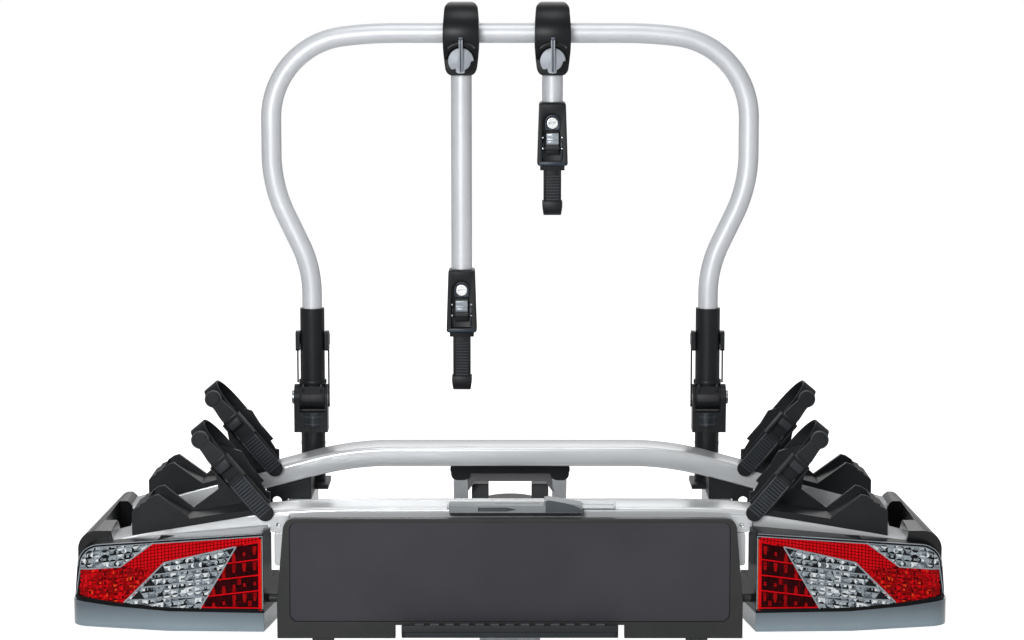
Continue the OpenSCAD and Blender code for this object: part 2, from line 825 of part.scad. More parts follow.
function fascia_x() = lamp_in_x - 2.5;
function fascia_top_z() = front_top(fascia_x()) - fascia_drop;

module rail_fascias() {
    x1 = fascia_x();
    y1 = front_rail_y - rail_w / 2 - seat;
    top_z = fascia_top_z();
    color([0.78, 0.79, 0.79]) both_sides() difference() {
        along_y(y1 - fascia_t, y1) {
            translate([x1 - fascia_w / 2, top_z - fascia_h / 2]) rounded_rect(fascia_w, fascia_h, fascia_r);
            block_2d([x1 - fascia_w, top_z - fascia_r], [x1, top_z]);
        }
        translate([x1 - fascia_w / 2, y1 + cut, top_z - fascia_h + fascia_r]) rotate([90, 0, 0])
            cylinder(r = plate_pin_r / 2, h = fascia_t + 2 * cut);
    }
}

module block_2d(low, high) {
    translate(low) square(high - low);
}

// Side covers join the ends of both rails
module side_covers() {
    y_front = front_rail_y - rail_w / 2 - 3;
    y_rear = rear_rail_y + rail_w / 2 + 3;
    color([0.05, 0.05, 0.06]) both_sides() difference() {
        hull() {
            cover_slice_at(y_front, cover_front_x, cover_front_z, cover_front_r, cover_front_in);
            cover_slice_at(y_rear - cover_slice, cover_rear_x, cover_rear_z, cover_rear_r, cover_rear_in);
        }
        front_rail_room(seat);
        rear_rail_room(seat);
        block([cover_rear_x - cover_front_in, front_rail_y + rail_w / 2 + 6, cover_rear_z - cover_h - cut],
            [cover_rear_x - 8, rear_rail_y - rail_w / 2 - 6, cover_front_z + cut]);
    }
}

module cover_slice_at(y, x, z, r, in) {
    along_y(y, y + cover_slice) {
        translate([x - r, z - r]) circle(r, $fn = 32);
        block_2d([x - in, z - cover_h], [x - r, z]);
        block_2d([x - r, z - cover_h], [x, z - r]);
    }
}

// Folding pivots of the U-bar
module pivot_feet() {
    color([0.13, 0.14, 0.15]) both_sides() difference() {
        union() {
            block([beam_x - foot_plate_w + beam_w / 2, bar_y - foot_plate_l / 2, beam_top_z + seat],
                [beam_x + beam_w / 2, bar_y + foot_plate_l / 2, beam_top_z + seat + foot_plate_t]);
            translate([leg_x, bar_y, 0]) {
                along_z(beam_top_z + seat, foot_neck_z + foot_web_h / 2) circle(sleeve_r - seat);
                along_z(foot_ring_z - foot_ring_t, foot_ring_z) circle(sleeve_r);
                along_z(foot_neck_z - foot_ring_t, foot_neck_z) circle(sleeve_r);
                along_x(sleeve_r + ear_gap, sleeve_r + ear_gap + outer_ear_t) link([0, foot_neck_z], [0, fold_z], fold_ear_r - 2, fold_ear_r);
                along_x(-sleeve_r - ear_gap - inner_ear_t, -sleeve_r - ear_gap) link([0, foot_neck_z], [0, fold_z], fold_ear_r - 2, fold_ear_r);
                block([-sleeve_r - ear_gap - inner_ear_t, 2 - fold_ear_r, foot_neck_z - foot_web_h / 2],
                    [sleeve_r + ear_gap + outer_ear_t, fold_ear_r - 2, foot_neck_z + foot_web_h / 2]);
            }
        }
        translate([leg_x - sleeve_r - ear_gap, bar_y, fold_z]) rotate([0, 90, 0]) cylinder(r = knuckle_r + run, h = 2 * (sleeve_r + ear_gap));
        translate([leg_x - sleeve_d, bar_y, fold_z]) rotate([0, 90, 0]) cylinder(r = fold_pin_d / 2 + fit, h = 2 * sleeve_d);
    }
}

module pivot_pins() {
    in_x = leg_x - sleeve_r - ear_gap - inner_ear_t;
    out_x = leg_x + sleeve_r + ear_gap + outer_ear_t + seat;
    color([0.6, 0.61, 0.62]) both_sides() translate([0, bar_y, fold_z]) rotate([0, 90, 0]) {
        translate([0, 0, in_x]) cylinder(r = fold_pin_d / 2, h = out_x - in_x + cut);
        translate([0, 0, out_x]) cylinder(r = fold_pin_d * 0.75, h = pin_head_t);
    }
}

// The U-bar's runs and bends, joined by thin bands as the rails are
module bar_bend(centre_x, centre_z, r, from, turn) {
    gap_turn = band_gap / r * 180 / PI;
    translate([centre_x, bar_y, centre_z]) rotate([90, 0, 0]) rotate([0, 0, from + gap_turn])
        rotate_extrude(angle = turn - 2 * gap_turn, $fn = 120) translate([r, 0]) bar_section(0);
}

module bar_run(x, z, lean, l0, l1, grow) {
    translate([x, bar_y, z]) rotate([0, lean, 0]) translate([0, 0, l0]) linear_extrude(height = l1 - l0) bar_section(grow);
}

module bar_section(grow) {
    difference() {
        circle(bar_r + grow, $fn = 48);
        circle(bar_r - bar_wall - grow, $fn = 48);
    }
}

module u_bar() {
    slope_x = leg_x + lower_bend_r * (1 - cos(leg_slope));
    upper_x = slope_x + slope_l * sin(leg_slope);
    joints = [[leg_x, lower_bend_z, 0], [slope_x, slope_z, leg_slope], [upper_x, upper_bend_z, leg_slope],
        [wide_x, upper_end_z, 0], [wide_x, corner_z, 0],
        [corner_x, corner_z + corner_r * sin(corner_turn), -corner_turn], [straight_x, bar_top_z, -90]];
    color([0.8, 0.81, 0.82]) {
        bar_run(-straight_x, bar_top_z, 90, band_gap, 2 * straight_x - band_gap, 0);
        both_sides() {
            bar_run(leg_x, sleeve_seat_z, 0, 0, lower_bend_z - sleeve_seat_z - band_gap, 0);
            bar_bend(leg_x + lower_bend_r, lower_bend_z, lower_bend_r, 180 - leg_slope, leg_slope);
            bar_run(slope_x, slope_z, leg_slope, band_gap, slope_l - band_gap, 0);
            bar_bend(wide_x - upper_bend_r, upper_end_z, upper_bend_r, -leg_slope, leg_slope);
            bar_run(wide_x, upper_end_z, 0, band_gap, corner_z - upper_end_z - band_gap, 0);
            bar_bend(wide_x - corner_r, corner_z, corner_r, 0, corner_turn);
            bar_bend(straight_x, bar_top_z - shoulder_r, shoulder_r, corner_turn, shoulder_turn);
            for (j = joints) bar_run(j[0], j[1], j[2], -band_l, band_l, band_t);
        }
    }
}

module bar_sleeves() {
    color([0.14, 0.15, 0.16]) both_sides() translate([leg_x, bar_y, 0]) difference() {
        union() {
            along_z(sleeve_bottom_z, sleeve_top_z) circle(sleeve_r);
            along_x(-knuckle_w / 2, knuckle_w / 2) translate([0, fold_z]) {
                circle(knuckle_r);
                block_2d([-sleeve_r, 0], [sleeve_r, sleeve_bottom_z - fold_z]);
            }
        }
        along_z(sleeve_seat_z - fit, sleeve_top_z + cut) circle(bar_r + fit);
        translate([-knuckle_w, 0, fold_z]) rotate([0, 90, 0]) cylinder(r = fold_pin_d / 2 + fit, h = 2 * knuckle_w);
    }
}

// Release grips and rods of one leg
module fold_release() {
    in = sleeve_r + release_gap;
    back_z = release_z + (release_l - release_back_h) / 2;
    rod_x = in + release_t / 2 + seat;
    color([0.16, 0.17, 0.18]) translate([leg_x, bar_y, 0]) {
        for (side = [-1, 1]) {
            x = side > 0 ? in : -in - release_t;
            along_x(x, x + release_t) translate([0, release_z + release_l / 2]) rounded_rect(release_d, release_l, release_t / 2);
            block([x, 0, back_z], [x + release_t, in + release_back_t, back_z + release_back_h]);
        }
        block([-in - release_t, in, back_z], [in + release_t, in + release_back_t, back_z + release_back_h]);
    }
    color([0.55, 0.56, 0.57]) translate([leg_x, bar_y, 0]) {
        translate([rod_x, 0, release_rod_end_z]) cylinder(r = release_rod_d / 2, h = release_z + cut - release_rod_end_z);
        translate([-in - release_t + release_rod_d / 2 - release_rod_gap, 0, release_hook_z])
            cylinder(r = release_rod_d / 2, h = release_z + cut - release_hook_z);
        translate([-in - release_t + release_rod_d / 2 - release_rod_gap, 0, release_hook_z]) rotate([-90, 0, 0])
            cylinder(r = release_rod_d / 2, h = 3 * release_rod_d);
    }
}

module fold_release_left() {
    left_side() fold_release();
}

module fold_release_right() {
    fold_release();
}

// Frame holders hang from the bar at x, their arm reaching down to the head
module holder_liner(x) {
    color([0.3, 0.31, 0.32]) difference() {
        along_x(x - clamp_w / 2 + seat, x + clamp_w / 2 - seat) translate([bar_y, bar_top_z]) circle(liner_r);
        along_x(x - clamp_w, x + clamp_w) translate([bar_y, bar_top_z]) circle(bar_r + fit);
        block([x - clamp_w, bar_y, bar_top_z - cut], [x + clamp_w, bar_y + liner_r + cut, bar_top_z + cut]);
    }
}

module holder_clamp(x) {
    low_z = bar_top_z - clamp_drop;
    front_y = bar_y - clamp_body_d + clamp_step / 2;
    color([0.12, 0.13, 0.14]) difference() {
        intersection() {
            along_x(x - clamp_w / 2, x + clamp_w / 2) {
                translate([bar_y, bar_top_z]) circle(clamp_r);
                block_2d([front_y, low_z], [bar_y + clamp_body_d, bar_top_z]);
            }
            along_y(bar_y - clamp_r - cut, bar_y + clamp_r + cut)
                translate([x, (low_z + bar_top_z + clamp_r) / 2])
                    rounded_rect(clamp_w, clamp_drop + clamp_r, clamp_corner_r);
        }
        along_x(x - clamp_w, x + clamp_w) translate([bar_y, bar_top_z]) circle(clamp_bore_r);
        translate([x, bar_y, 0]) along_z(low_z - cut, arm_top_z + seat) circle(arm_d / 2 + fit);
        translate([x, bar_y, knob_z]) rotate([90, 0, 0]) cylinder(r = knob_stem_d / 2 + fit, h = clamp_r);
        translate([x, front_y, knob_z]) rotate([90, 0, 0]) cylinder(r = knob_r + 2, h = clamp_r);
        block([x - clamp_w, bar_y + clamp_bore_r - cut, bar_top_z - cut], [x + clamp_w, bar_y + clamp_r + cut, bar_top_z + cut]);
    }
}

module holder_arm(x, head_z) {
    color([0.8, 0.81, 0.82]) translate([x, bar_y, 0]) along_z(head_z - arm_seat, arm_top_z) difference() {
        circle(arm_d / 2);
        circle(arm_d / 2 - arm_wall);
    }
}

module holder_knob(x) {
    front_y = bar_y - clamp_body_d + clamp_step / 2;
    disc_y = front_y - seat - knob_t;
    color([0.66, 0.68, 0.71]) {
        difference() {
            translate([x, front_y - seat, knob_z]) rotate([90, 0, 0]) cylinder(r = knob_r, h = knob_t);
            for (a = [205, 320])
                translate([x, front_y, knob_z]) rotate([0, a, 0]) translate([knob_r, 0, 0]) rotate([90, 0, 0])
                    cylinder(r = knob_r / 6, h = 2 * knob_t);
        }
        translate([x, front_y - seat - cut, knob_z]) rotate([-90, 0, 0]) cylinder(r = knob_stem_d / 2, h = clamp_body_d - arm_d / 2 - 1.5);
        along_x(x - wing_w / 2, x + wing_w / 2) polygon([[disc_y + cut, knob_z - knob_r + 2], [disc_y - wing_out / 2, knob_z - knob_r + 2],
            [disc_y - wing_out, knob_z + wing_up * 0.7], [disc_y - wing_out, knob_z + wing_up], [disc_y - wing_out * 0.75, knob_z + wing_up],
            [disc_y - wing_out / 3, knob_z + knob_r], [disc_y + cut, knob_z + knob_r - 2]]);
    }
}

module holder_head(x, head_z) {
    low_z = head_z - head_h;
    front_y = bar_y - head_front;
    floor_y = front_y + pocket_d;
    pocket_top = head_z - lock_drop;
    color([0.12, 0.13, 0.14]) difference() {
        union() {
            intersection() {
                along_x(x - head_w, x + head_w) translate([bar_y + (head_back - head_front) / 2, (head_z + low_z) / 2])
                    rounded_rect(head_front + head_back, head_h, head_corner_r);
                along_y(front_y - cut, bar_y + head_back + cut) polygon([[x - head_w / 2, low_z], [x + head_w / 2, low_z],
                    [x + head_top_w / 2, head_z], [x - head_top_w / 2, head_z]]);
            }
            block([x - collar_w / 2, bar_y - collar_d / 2, low_z - collar_h], [x + collar_w / 2, bar_y + collar_d / 2, low_z + cut]);
        }
        translate([x, bar_y, 0]) along_z(head_z - arm_seat - seat, head_z + cut) circle(arm_d / 2 + fit);
        along_y(front_y - cut, floor_y) {
            translate([x, pocket_top]) circle(pocket_w / 2);
            block_2d([x - pocket_w / 2, low_z + pocket_edge], [x + pocket_w / 2, pocket_top]);
        }
        translate([x, floor_y - cut, pocket_top]) rotate([-90, 0, 0]) cylinder(r = lock_d / 2 + fit, h = lock_l);
        translate([x - head_w, front_y + buckle_pivot_in, head_z - buckle_pivot_drop]) rotate([0, 90, 0])
            cylinder(r = buckle_pin_d / 2 + fit, h = 2 * head_w);
        holder_strap_slots(x, low_z);
    }
}

module holder_strap_slots(x, low_z) {
    for (y = [-1, 1])
        translate([x - holder_strap_w / 2 - seat, bar_y + y * holder_strap_gap - holder_strap_t / 2 - seat, low_z - collar_h - cut])
            cube([holder_strap_w + 2 * seat, holder_strap_t + 2 * seat, collar_h + pocket_edge]);
}

module holder_strap(x, head_z, end_z) {
    top_z = head_z - head_h;
    bend_z = end_z + holder_strap_gap + holder_strap_t / 2;
    color([0.1, 0.1, 0.11]) {
        difference() {
            along_x(x - holder_strap_w / 2, x + holder_strap_w / 2) difference() {
                union() {
                    translate([bar_y, bend_z]) circle(holder_strap_gap + holder_strap_t / 2);
                    block_2d([bar_y - holder_strap_gap - holder_strap_t / 2, bend_z], [bar_y + holder_strap_gap + holder_strap_t / 2, top_z]);
                }
                translate([bar_y, bend_z]) circle(holder_strap_gap - holder_strap_t / 2);
                block_2d([bar_y - holder_strap_gap + holder_strap_t / 2, bend_z], [bar_y + holder_strap_gap - holder_strap_t / 2, top_z + cut]);
            }
            for (z = [bend_z + holder_loop_h : rib_pitch : top_z - collar_h - rib_pitch])
                block([x - holder_strap_w / 3, bar_y - holder_strap_gap - holder_strap_t, z],
                    [x + holder_strap_w / 3, bar_y - holder_strap_gap - holder_strap_t / 4, z + rib_w]);
        }
        along_x(x - holder_loop_w / 2, x + holder_loop_w / 2) difference() {
            union() {
                translate([bar_y, bend_z]) circle(holder_strap_gap + holder_strap_t);
                block_2d([bar_y - holder_strap_gap - holder_strap_t, bend_z], [bar_y + holder_strap_gap + holder_strap_t, bend_z + holder_loop_h / 2]);
            }
            translate([bar_y, bend_z]) circle(holder_strap_gap - holder_strap_t / 2);
            block_2d([bar_y - holder_strap_gap + holder_strap_t / 2, bend_z], [bar_y + holder_strap_gap - holder_strap_t / 2, bend_z + holder_loop_h]);
        }
    }
}

module holder_buckle(x, head_z) {
    py = bar_y - head_front + buckle_pivot_in;
    pz = head_z - buckle_pivot_drop;
    color([0.16, 0.17, 0.19]) {
        along_x(x - buckle_w / 2, x + buckle_w / 2) {
            link([py, pz], [py, pz + buckle_l], buckle_t, buckle_t * 0.6);
            block_2d([py - buckle_t / 2 - thumb_raise, pz + buckle_l - thumb_l], [py + buckle_t / 4, pz + buckle_l]);
        }
        translate([x - pocket_w / 2 - 3, py, pz]) rotate([0, 90, 0]) cylinder(r = buckle_pin_d / 2, h = pocket_w + 6);
    }
}

module holder_lock(x, head_z) {
    floor_y = bar_y - head_front + pocket_d;
    color([0.85, 0.86, 0.88]) difference() {
        translate([x, floor_y - lock_out, head_z - lock_drop]) rotate([-90, 0, 0]) cylinder(r = lock_d / 2, h = lock_l);
        translate([x, floor_y - lock_out, head_z - lock_drop]) cube([keyway_l, 2 * keyway_t, keyway_w], center = true);
    }
}

module long_liner() { holder_liner(long_holder_x); }
module long_clamp() { holder_clamp(long_holder_x); }
module long_arm() { holder_arm(long_holder_x, long_head_z); }
module long_head() { holder_head(long_holder_x, long_head_z); }
module long_strap() { holder_strap(long_holder_x, long_head_z, long_strap_z); }
module long_knob() { holder_knob(long_holder_x); }
module long_buckle() { holder_buckle(long_holder_x, long_head_z); }
module long_lock() { holder_lock(long_holder_x, long_head_z); }
module short_liner() { holder_liner(short_holder_x); }
module short_clamp() { holder_clamp(short_holder_x); }
module short_arm() { holder_arm(short_holder_x, short_head_z); }
module short_head() { holder_head(short_holder_x, short_head_z); }
module short_strap() { holder_strap(short_holder_x, short_head_z, short_strap_z); }
module short_knob() { holder_knob(short_holder_x); }
module short_buckle() { holder_buckle(short_holder_x, short_head_z); }
module short_lock() { holder_lock(short_holder_x, short_head_z); }

// Wheel trays: shares turned into points above the rail of that tray
function tray_points(shares, x0, front) = [for (s = shares)
    let (x = x0 + s[0] * tray_l) [x, (front ? front_top(x) : rear_top(x)) + s[1] * tray_peak_h]];

module tray_solid(x0, rail_y, front) {
    y0 = rail_y - tray_w / 2;
    y1 = rail_y + tray_w / 2;
    along_y(y0, y1) polygon(tray_points(tray_outline_shares, x0, front));
    along_y(y1 - tray_wall, y1) polygon(tray_points(tray_fin_shares, x0, front));
}

module tray(x0, rail_y, front) {
    y0 = rail_y - tray_w / 2;
    y1 = rail_y + tray_w / 2;
    color([0.13, 0.13, 0.14]) difference() {
        union() {
            difference() {
                tray_solid(x0, rail_y, front);
                along_y(y0 + tray_wall, y1 - tray_wall) polygon(tray_points(tray_groove_shares, x0, front));
            }
            tray_guard(x0, rail_y, front);
        }
        if (front) front_rail_room(run);
        else rear_rail_room(run);
    }
}

// Guard wing and near lug that the strap is fixed to, in the strap's own lean
module strap_frame(x0, rail_y, front) {
    z0 = front ? front_top(x0) : rear_top(x0);
    translate([x0, rail_y, z0]) rotate([0, strap_lean, 0]) children();
}

module tray_guard(x0, rail_y, front) {
    z0 = front ? front_top(x0) : rear_top(x0);
    z1 = z0 + guard_lift;
    lean = tan(strap_lean);
    half = guard_w / 2 / cos(strap_lean);
    inner = x0 + guard_w / 6;
    along_y(rail_y + tray_w / 2 - guard_t, rail_y + tray_w / 2 + seat)
        polygon([[inner, z0 + guard_foot / 3], [inner, z1 - half], [x0 + guard_l * lean - half, z0 + guard_l],
            [x0 + guard_l * lean + half / 2, z0 + guard_l + half / 2], [x0 + guard_l * lean + half, z0 + guard_l - half / 2],
            [x0 + guard_lift * lean + 2 * half, z0 + guard_foot / 3]]);
    block([x0 + cut, rail_y - strap_near_y + strap_t + 2 * seat + strap_buckle_t, z0 - guard_foot / 3],
        [x0 + guard_foot + cut, rail_y - tray_w / 2 + tray_wall, z0 + guard_foot]);
}

module tray_front_left() { left_side() tray(front_tray_x, front_rail_y, true); }
module tray_front_right() { tray(front_tray_x, front_rail_y, true); }
module tray_rear_left() { left_side() tray(rear_tray_x, rear_rail_y, false); }
module tray_rear_right() { tray(rear_tray_x, rear_rail_y, false); }

// A wheel strap: its near leg with the ribbed tail, the loop, the far leg and the buckle
module wheel_strap(x0, rail_y, front) {
    y_near = -strap_near_y;
    strap_frame(x0, rail_y, front) {
        color([0.1, 0.1, 0.11]) {
            difference() {
                union() {
                    along_x(-strap_w / 2, strap_w / 2) {
                        difference() {
                            union() {
                                translate([strap_mid_y, strap_bend_z]) circle(strap_loop_r);
                                block_2d([y_near, 0], [strap_far_y, strap_bend_z]);
                            }
                            translate([strap_mid_y, strap_bend_z]) circle(strap_loop_r - strap_t);
                            block_2d([y_near + strap_t, -cut], [strap_far_y - strap_t, strap_bend_z]);
                        }
                    }
                    for (z = [0 : rib_pitch : tail_l - rib_pitch])
                        block([-strap_w / 2, y_near - rib_t, z], [strap_w / 2, y_near + cut, z + rib_w]);
                    along_y(y_near, y_near + strap_t) circle(strap_w / 2);
                }
                block([-strap_w, strap_far_y - 2 * strap_t, -cut], [strap_w, strap_far_y + cut, guard_foot * 2]);
            }
        }
        color([0.13, 0.13, 0.15]) strap_buckle(y_near);
    }
}

module strap_buckle(y_near) {
    in_x = strap_w / 2 + seat;
    out_x = in_x + strap_buckle_t;
    y_back = y_near + strap_t + seat;
    z1 = strap_buckle_z + strap_buckle_l;
    difference() {
        both_sides() block([in_x, y_near - strap_buckle_d, strap_buckle_z], [out_x, y_back + strap_buckle_t, z1]);
        both_sides() translate([in_x - cut, y_near - strap_pivot_out, strap_pivot_z]) rotate([0, 90, 0])
            cylinder(r = strap_pin_d / 2 + fit, h = strap_buckle_t + 2 * cut);
    }
    block([-out_x, y_back, strap_buckle_z - tongue_l], [out_x, y_back + strap_buckle_t, z1]);
    block([-out_x, y_near - rib_t - seat - strap_buckle_t, strap_buckle_z], [out_x, y_near - rib_t - seat, strap_buckle_z + 2 * strap_buckle_t]);
}

module strap_lever(x0, rail_y, front) {
    y = -strap_near_y - strap_pivot_out;
    w = strap_w / 2 - seat;
    strap_frame(x0, rail_y, front) color([0.12, 0.12, 0.13]) {
        along_x(-w, w) translate([y, strap_pivot_z]) circle(strap_cam_r);
        translate([-strap_w / 2 - seat - strap_buckle_t, y, strap_pivot_z]) rotate([0, 90, 0])
            cylinder(r = strap_pin_d / 2, h = strap_w + 2 * (seat + strap_buckle_t));
        along_y(y - strap_cam_r, y - strap_cam_r + paddle_t) {
            block_2d([-w, strap_pivot_z], [w, strap_pivot_z + strap_lever_l / 3]);
            polygon([[-w, strap_pivot_z + strap_lever_l / 3], [w, strap_pivot_z + strap_lever_l / 3],
                [w * 0.8, strap_pivot_z + strap_lever_l - 2 * paddle_r], [-w * 0.8, strap_pivot_z + strap_lever_l - 2 * paddle_r]]);
            translate([0, strap_pivot_z + strap_lever_l - paddle_r]) circle(paddle_r);
            block_2d([-w * 0.8, strap_pivot_z + strap_lever_l - 2 * paddle_r - cut], [w * 0.8, strap_pivot_z + strap_lever_l - paddle_r]);
        }
        along_y(y - strap_cam_r - thumb_t, y - strap_cam_r + cut)
            translate([0, strap_pivot_z + strap_lever_l - paddle_r]) circle(thumb_r);
    }
}

module strap_front_left() { left_side() wheel_strap(front_tray_x, front_rail_y, true); }
module strap_front_right() { wheel_strap(front_tray_x, front_rail_y, true); }
module strap_rear_left() { left_side() wheel_strap(rear_tray_x, rear_rail_y, false); }
module strap_rear_right() { wheel_strap(rear_tray_x, rear_rail_y, false); }
module strap_lever_front_left() { left_side() strap_lever(front_tray_x, front_rail_y, true); }
module strap_lever_front_right() { strap_lever(front_tray_x, front_rail_y, true); }
module strap_lever_rear_left() { left_side() strap_lever(rear_tray_x, rear_rail_y, false); }
module strap_lever_rear_right() { strap_lever(rear_tray_x, rear_rail_y, false); }

// Lamps: the outline seen from behind the car and the plan seen from above
function seam(grow) = [for (s = lamp_seam_shares) [lamp_in_x - grow + s[0] * (lamp_out_x + 2 * grow - lamp_in_x), s[1] * lamp_top_z]];

module lamp_outline(inset) {
    in_x = lamp_in_x + inset;
    r = lamp_round_r - inset;
    difference() {
        union() {
            polygon([[in_x, lamp_bottom_z], [in_x, lamp_top_z - inset], [lamp_round_x, lamp_round_z + r],
                [lamp_round_x + r, lamp_round_z], [lamp_out_x - inset - 4, 0], [lamp_out_x - inset, lamp_bottom_z]]);
            translate([lamp_round_x, lamp_round_z]) circle(r);
        }
        polygon(concat([for (p = seam(cut)) p + [0, inset + seat / 2]], [[lamp_out_x + cut, lamp_bottom_z - cut], [lamp_in_x - cut, lamp_bottom_z - cut]]));
    }
}

module lamp_plan(set_back, rear_y) {
    in_x = lamp_in_x;
    corner_x = lamp_out_x - lamp_corner_r;
    tilt = atan(lamp_sweep / (lamp_out_x - lamp_in_x));
    centre = [corner_x, lamp_face_y + lamp_corner_r + set_back];
    translate(centre) circle(lamp_corner_r);
    polygon([[in_x, lamp_front_y + set_back], centre + lamp_corner_r * [sin(tilt), -cos(tilt)],
        [lamp_out_x, centre[1]], [lamp_out_x, rear_y], [in_x - lamp_taper, rear_y]]);
}

module lamp_housing() {
    color([0.05, 0.05, 0.06]) difference() {
        intersection() {
            union() {
                along_y(lamp_front_y - cut, lamp_rear_y) lamp_outline_wide();
                along_y(lamp_rear_y - cut, lamp_back_y) intersection() {
                    lamp_outline_wide();
                    block_2d([0, lamp_bottom_z], [lamp_out_x, lamp_box_top_z]);
                }
            }
            along_z(lamp_bottom_z, lamp_top_z + cut) lamp_plan(0, lamp_back_y);
        }
        lamp_cavity();
        block([lamp_in_x - 2 * lamp_taper, front_rail_y - rail_w / 2 - fascia_t - 2 * seat, fascia_top_z() - fascia_h - seat],
            [fascia_x() + seat, lamp_back_y + cut, lamp_top_z + cut]);
        translate([lamp_in_x - 3 * lamp_taper, plate_hinge_y, plate_hinge_z]) rotate([0, 90, 0])
            cylinder(r = plate_pin_r + fit, h = 3 * lamp_taper + bezel);
    }
}

module lamp_outline_wide() {
    lamp_outline(0);
    difference() {
        block_2d([lamp_in_x - lamp_taper, lamp_seam_shares[0][1] * lamp_top_z + seat], [lamp_in_x + cut, lamp_top_z]);
    }
}

module lamp_cavity() {
    intersection() {
        along_y(lamp_front_y - cut, lamp_rear_y - lamp_wall) lamp_outline(bezel);
        along_z(lamp_bottom_z, lamp_top_z) lamp_plan(-2 * cut, lamp_back_y);
    }
}

module lamp_lens() {
    color([0.75, 0.06, 0.06]) intersection() {
        along_y(lamp_front_y - cut, lamp_rear_y) lamp_outline(bezel + lens_gap);
        along_z(lamp_bottom_z, lamp_top_z) difference() {
            lamp_plan(lens_inset, lamp_back_y);
            lamp_plan(lens_inset + lens_t, lamp_back_y + cut);
        }
        block([lamp_in_x, lamp_front_y, lamp_bottom_z], [lamp_out_x, lamp_rear_y - lamp_wall - seat, lamp_top_z]);
    }
}

module lamp_reflector() {
    step_w = (lamp_out_x - lamp_in_x - 2 * bezel - lamp_corner_r) / reflector_steps;
    back_y = lamp_rear_y - lamp_wall - seat;
    color([0.8, 0.81, 0.83]) intersection() {
        along_y(lamp_front_y, back_y) lamp_outline(bezel + lens_gap);
        union() {
            for (i = [0 : reflector_steps - 1]) {
                x = lamp_in_x + bezel + i * step_w;
                y = lamp_front_y + lens_inset + lens_t + reflector_gap + lamp_sweep * (x + step_w - lamp_in_x) / (lamp_out_x - lamp_in_x);
                block([x, min(y + reflector_gap, back_y - reflector_t), lamp_bottom_z], [x + step_w + reflector_t, back_y, lamp_top_z]);
            }
        }
    }
}

module lamp_cover() {
    color([0.54, 0.6, 0.64]) difference() {
        intersection() {
            along_y(lamp_front_y - cut, lamp_back_y) polygon(concat([for (p = seam(lamp_taper)) p - [0, seat / 2]],
                [[lamp_out_x + cut, lamp_bottom_z], [lamp_in_x + (lamp_out_x - lamp_in_x) / 2, lamp_bottom_z - lens_t], [lamp_in_x - lamp_taper, lamp_bottom_z]]));
            along_z(lamp_bottom_z - 2 * lens_t, lamp_top_z) lamp_plan(0, lamp_back_y);
        }
        intersection() {
            along_y(lamp_front_y, lamp_back_y + cut) translate([0, -cover_wall]) polygon(concat([for (p = seam(-2 * cover_wall)) p],
                [[lamp_out_x - 2 * cover_wall, lamp_bottom_z + 2 * cover_wall], [lamp_in_x + 2 * cover_wall, lamp_bottom_z + 2 * cover_wall]]));
            along_z(lamp_bottom_z - cut, lamp_top_z) lamp_plan(2 * cover_wall, lamp_back_y + 2 * cut);
        }
    }
}

module lamp_housings() { both_sides() lamp_housing(); }
module lamp_lenses() { both_sides() lamp_lens(); }
module lamp_reflectors() { both_sides() lamp_reflector(); }
module lamp_covers() { both_sides() lamp_cover(); }

// Number plate, its frame and its catch
module plate_outline(inset) {
    w0 = plate_frame_w / 2 - inset;
    w1 = plate_frame_top_w / 2 - inset;
    top = plate_frame_top_z - inset;
    r = plate_frame_r - inset / 2;
    polygon([[-w0, plate_frame_bottom_z + inset], [w0, plate_frame_bottom_z + inset], [w0, plate_hinge_z], [w1, top - r],
        [w1 - r, top], [-w1 + r, top], [-w1, top - r], [-w0, plate_hinge_z]]);
    both_sides() translate([w1 - r, top - r]) circle(r);
}

module plate_frame() {
    rear_y = plate_front_y + plate_frame_t;
    color([0.2, 0.2, 0.2]) difference() {
        union() {
            along_y(plate_front_y, rear_y) plate_outline(0);
            along_y(plate_hinge_y - plate_pin_r - plate_rim, plate_hinge_y + plate_pin_r + plate_rim) both_sides()
                block_2d([plate_frame_w / 2 - plate_pin_l, plate_hinge_z - plate_pin_r - plate_rim], [plate_frame_w / 2, plate_hinge_z + plate_pin_r + plate_rim]);
            both_sides() {
                translate([plate_frame_w / 2 - cut, plate_hinge_y, plate_hinge_z]) rotate([0, 90, 0]) cylinder(r = plate_pin_r, h = plate_pin_l);
                block([plate_w / 2 - 2 * plate_foot_w, plate_front_y + cut, plate_frame_bottom_z - plate_foot_h],
                    [plate_w / 2 - plate_foot_w, plate_front_y + plate_foot_t, plate_frame_bottom_z + cut]);
            }
        }
        along_y(plate_front_y - cut, plate_front_y + plate_recess) plate_field(seat);
        block([-plate_notch_w / 2, plate_front_y - cut, plate_frame_bottom_z - cut], [plate_notch_w / 2, rear_y + cut, plate_notch_z]);
        along_y(plate_front_y + plate_recess + lens_t, rear_y + cut) block_2d([-plate_w / 2 + plate_foot_w, plate_notch_z + plate_frame_r],
            [plate_w / 2 - plate_foot_w, plate_frame_top_z - plate_frame_r]);
    }
}

module plate_field(grow) {
    intersection() {
        translate([0, plate_mid_z]) rounded_rect(plate_w + 2 * grow, plate_h + 2 * grow, plate_frame_r - plate_rim);
        plate_outline(plate_rim - grow);
    }
}

module plate_panel() {
    rear_y = plate_front_y + plate_recess - seat / 3;
    color([0.27, 0.27, 0.29]) along_y(rear_y - plate_t, rear_y) plate_field(0);
}

module latch_guide() {
    y1 = latch_y1;
    color([0.37, 0.39, 0.41]) difference() {
        block([latch_x0 - latch_t, latch_y0 + 6, front_rail_z + seat], [latch_x2 + 40, y1, front_rail_z + seat + latch_t]);
        block([latch_x0 - seat, latch_y0, front_rail_z + seat + latch_t / 2], [latch_x2 + 40 - latch_t, y1 - latch_t, front_rail_z + 2 * latch_t]);
    }
}

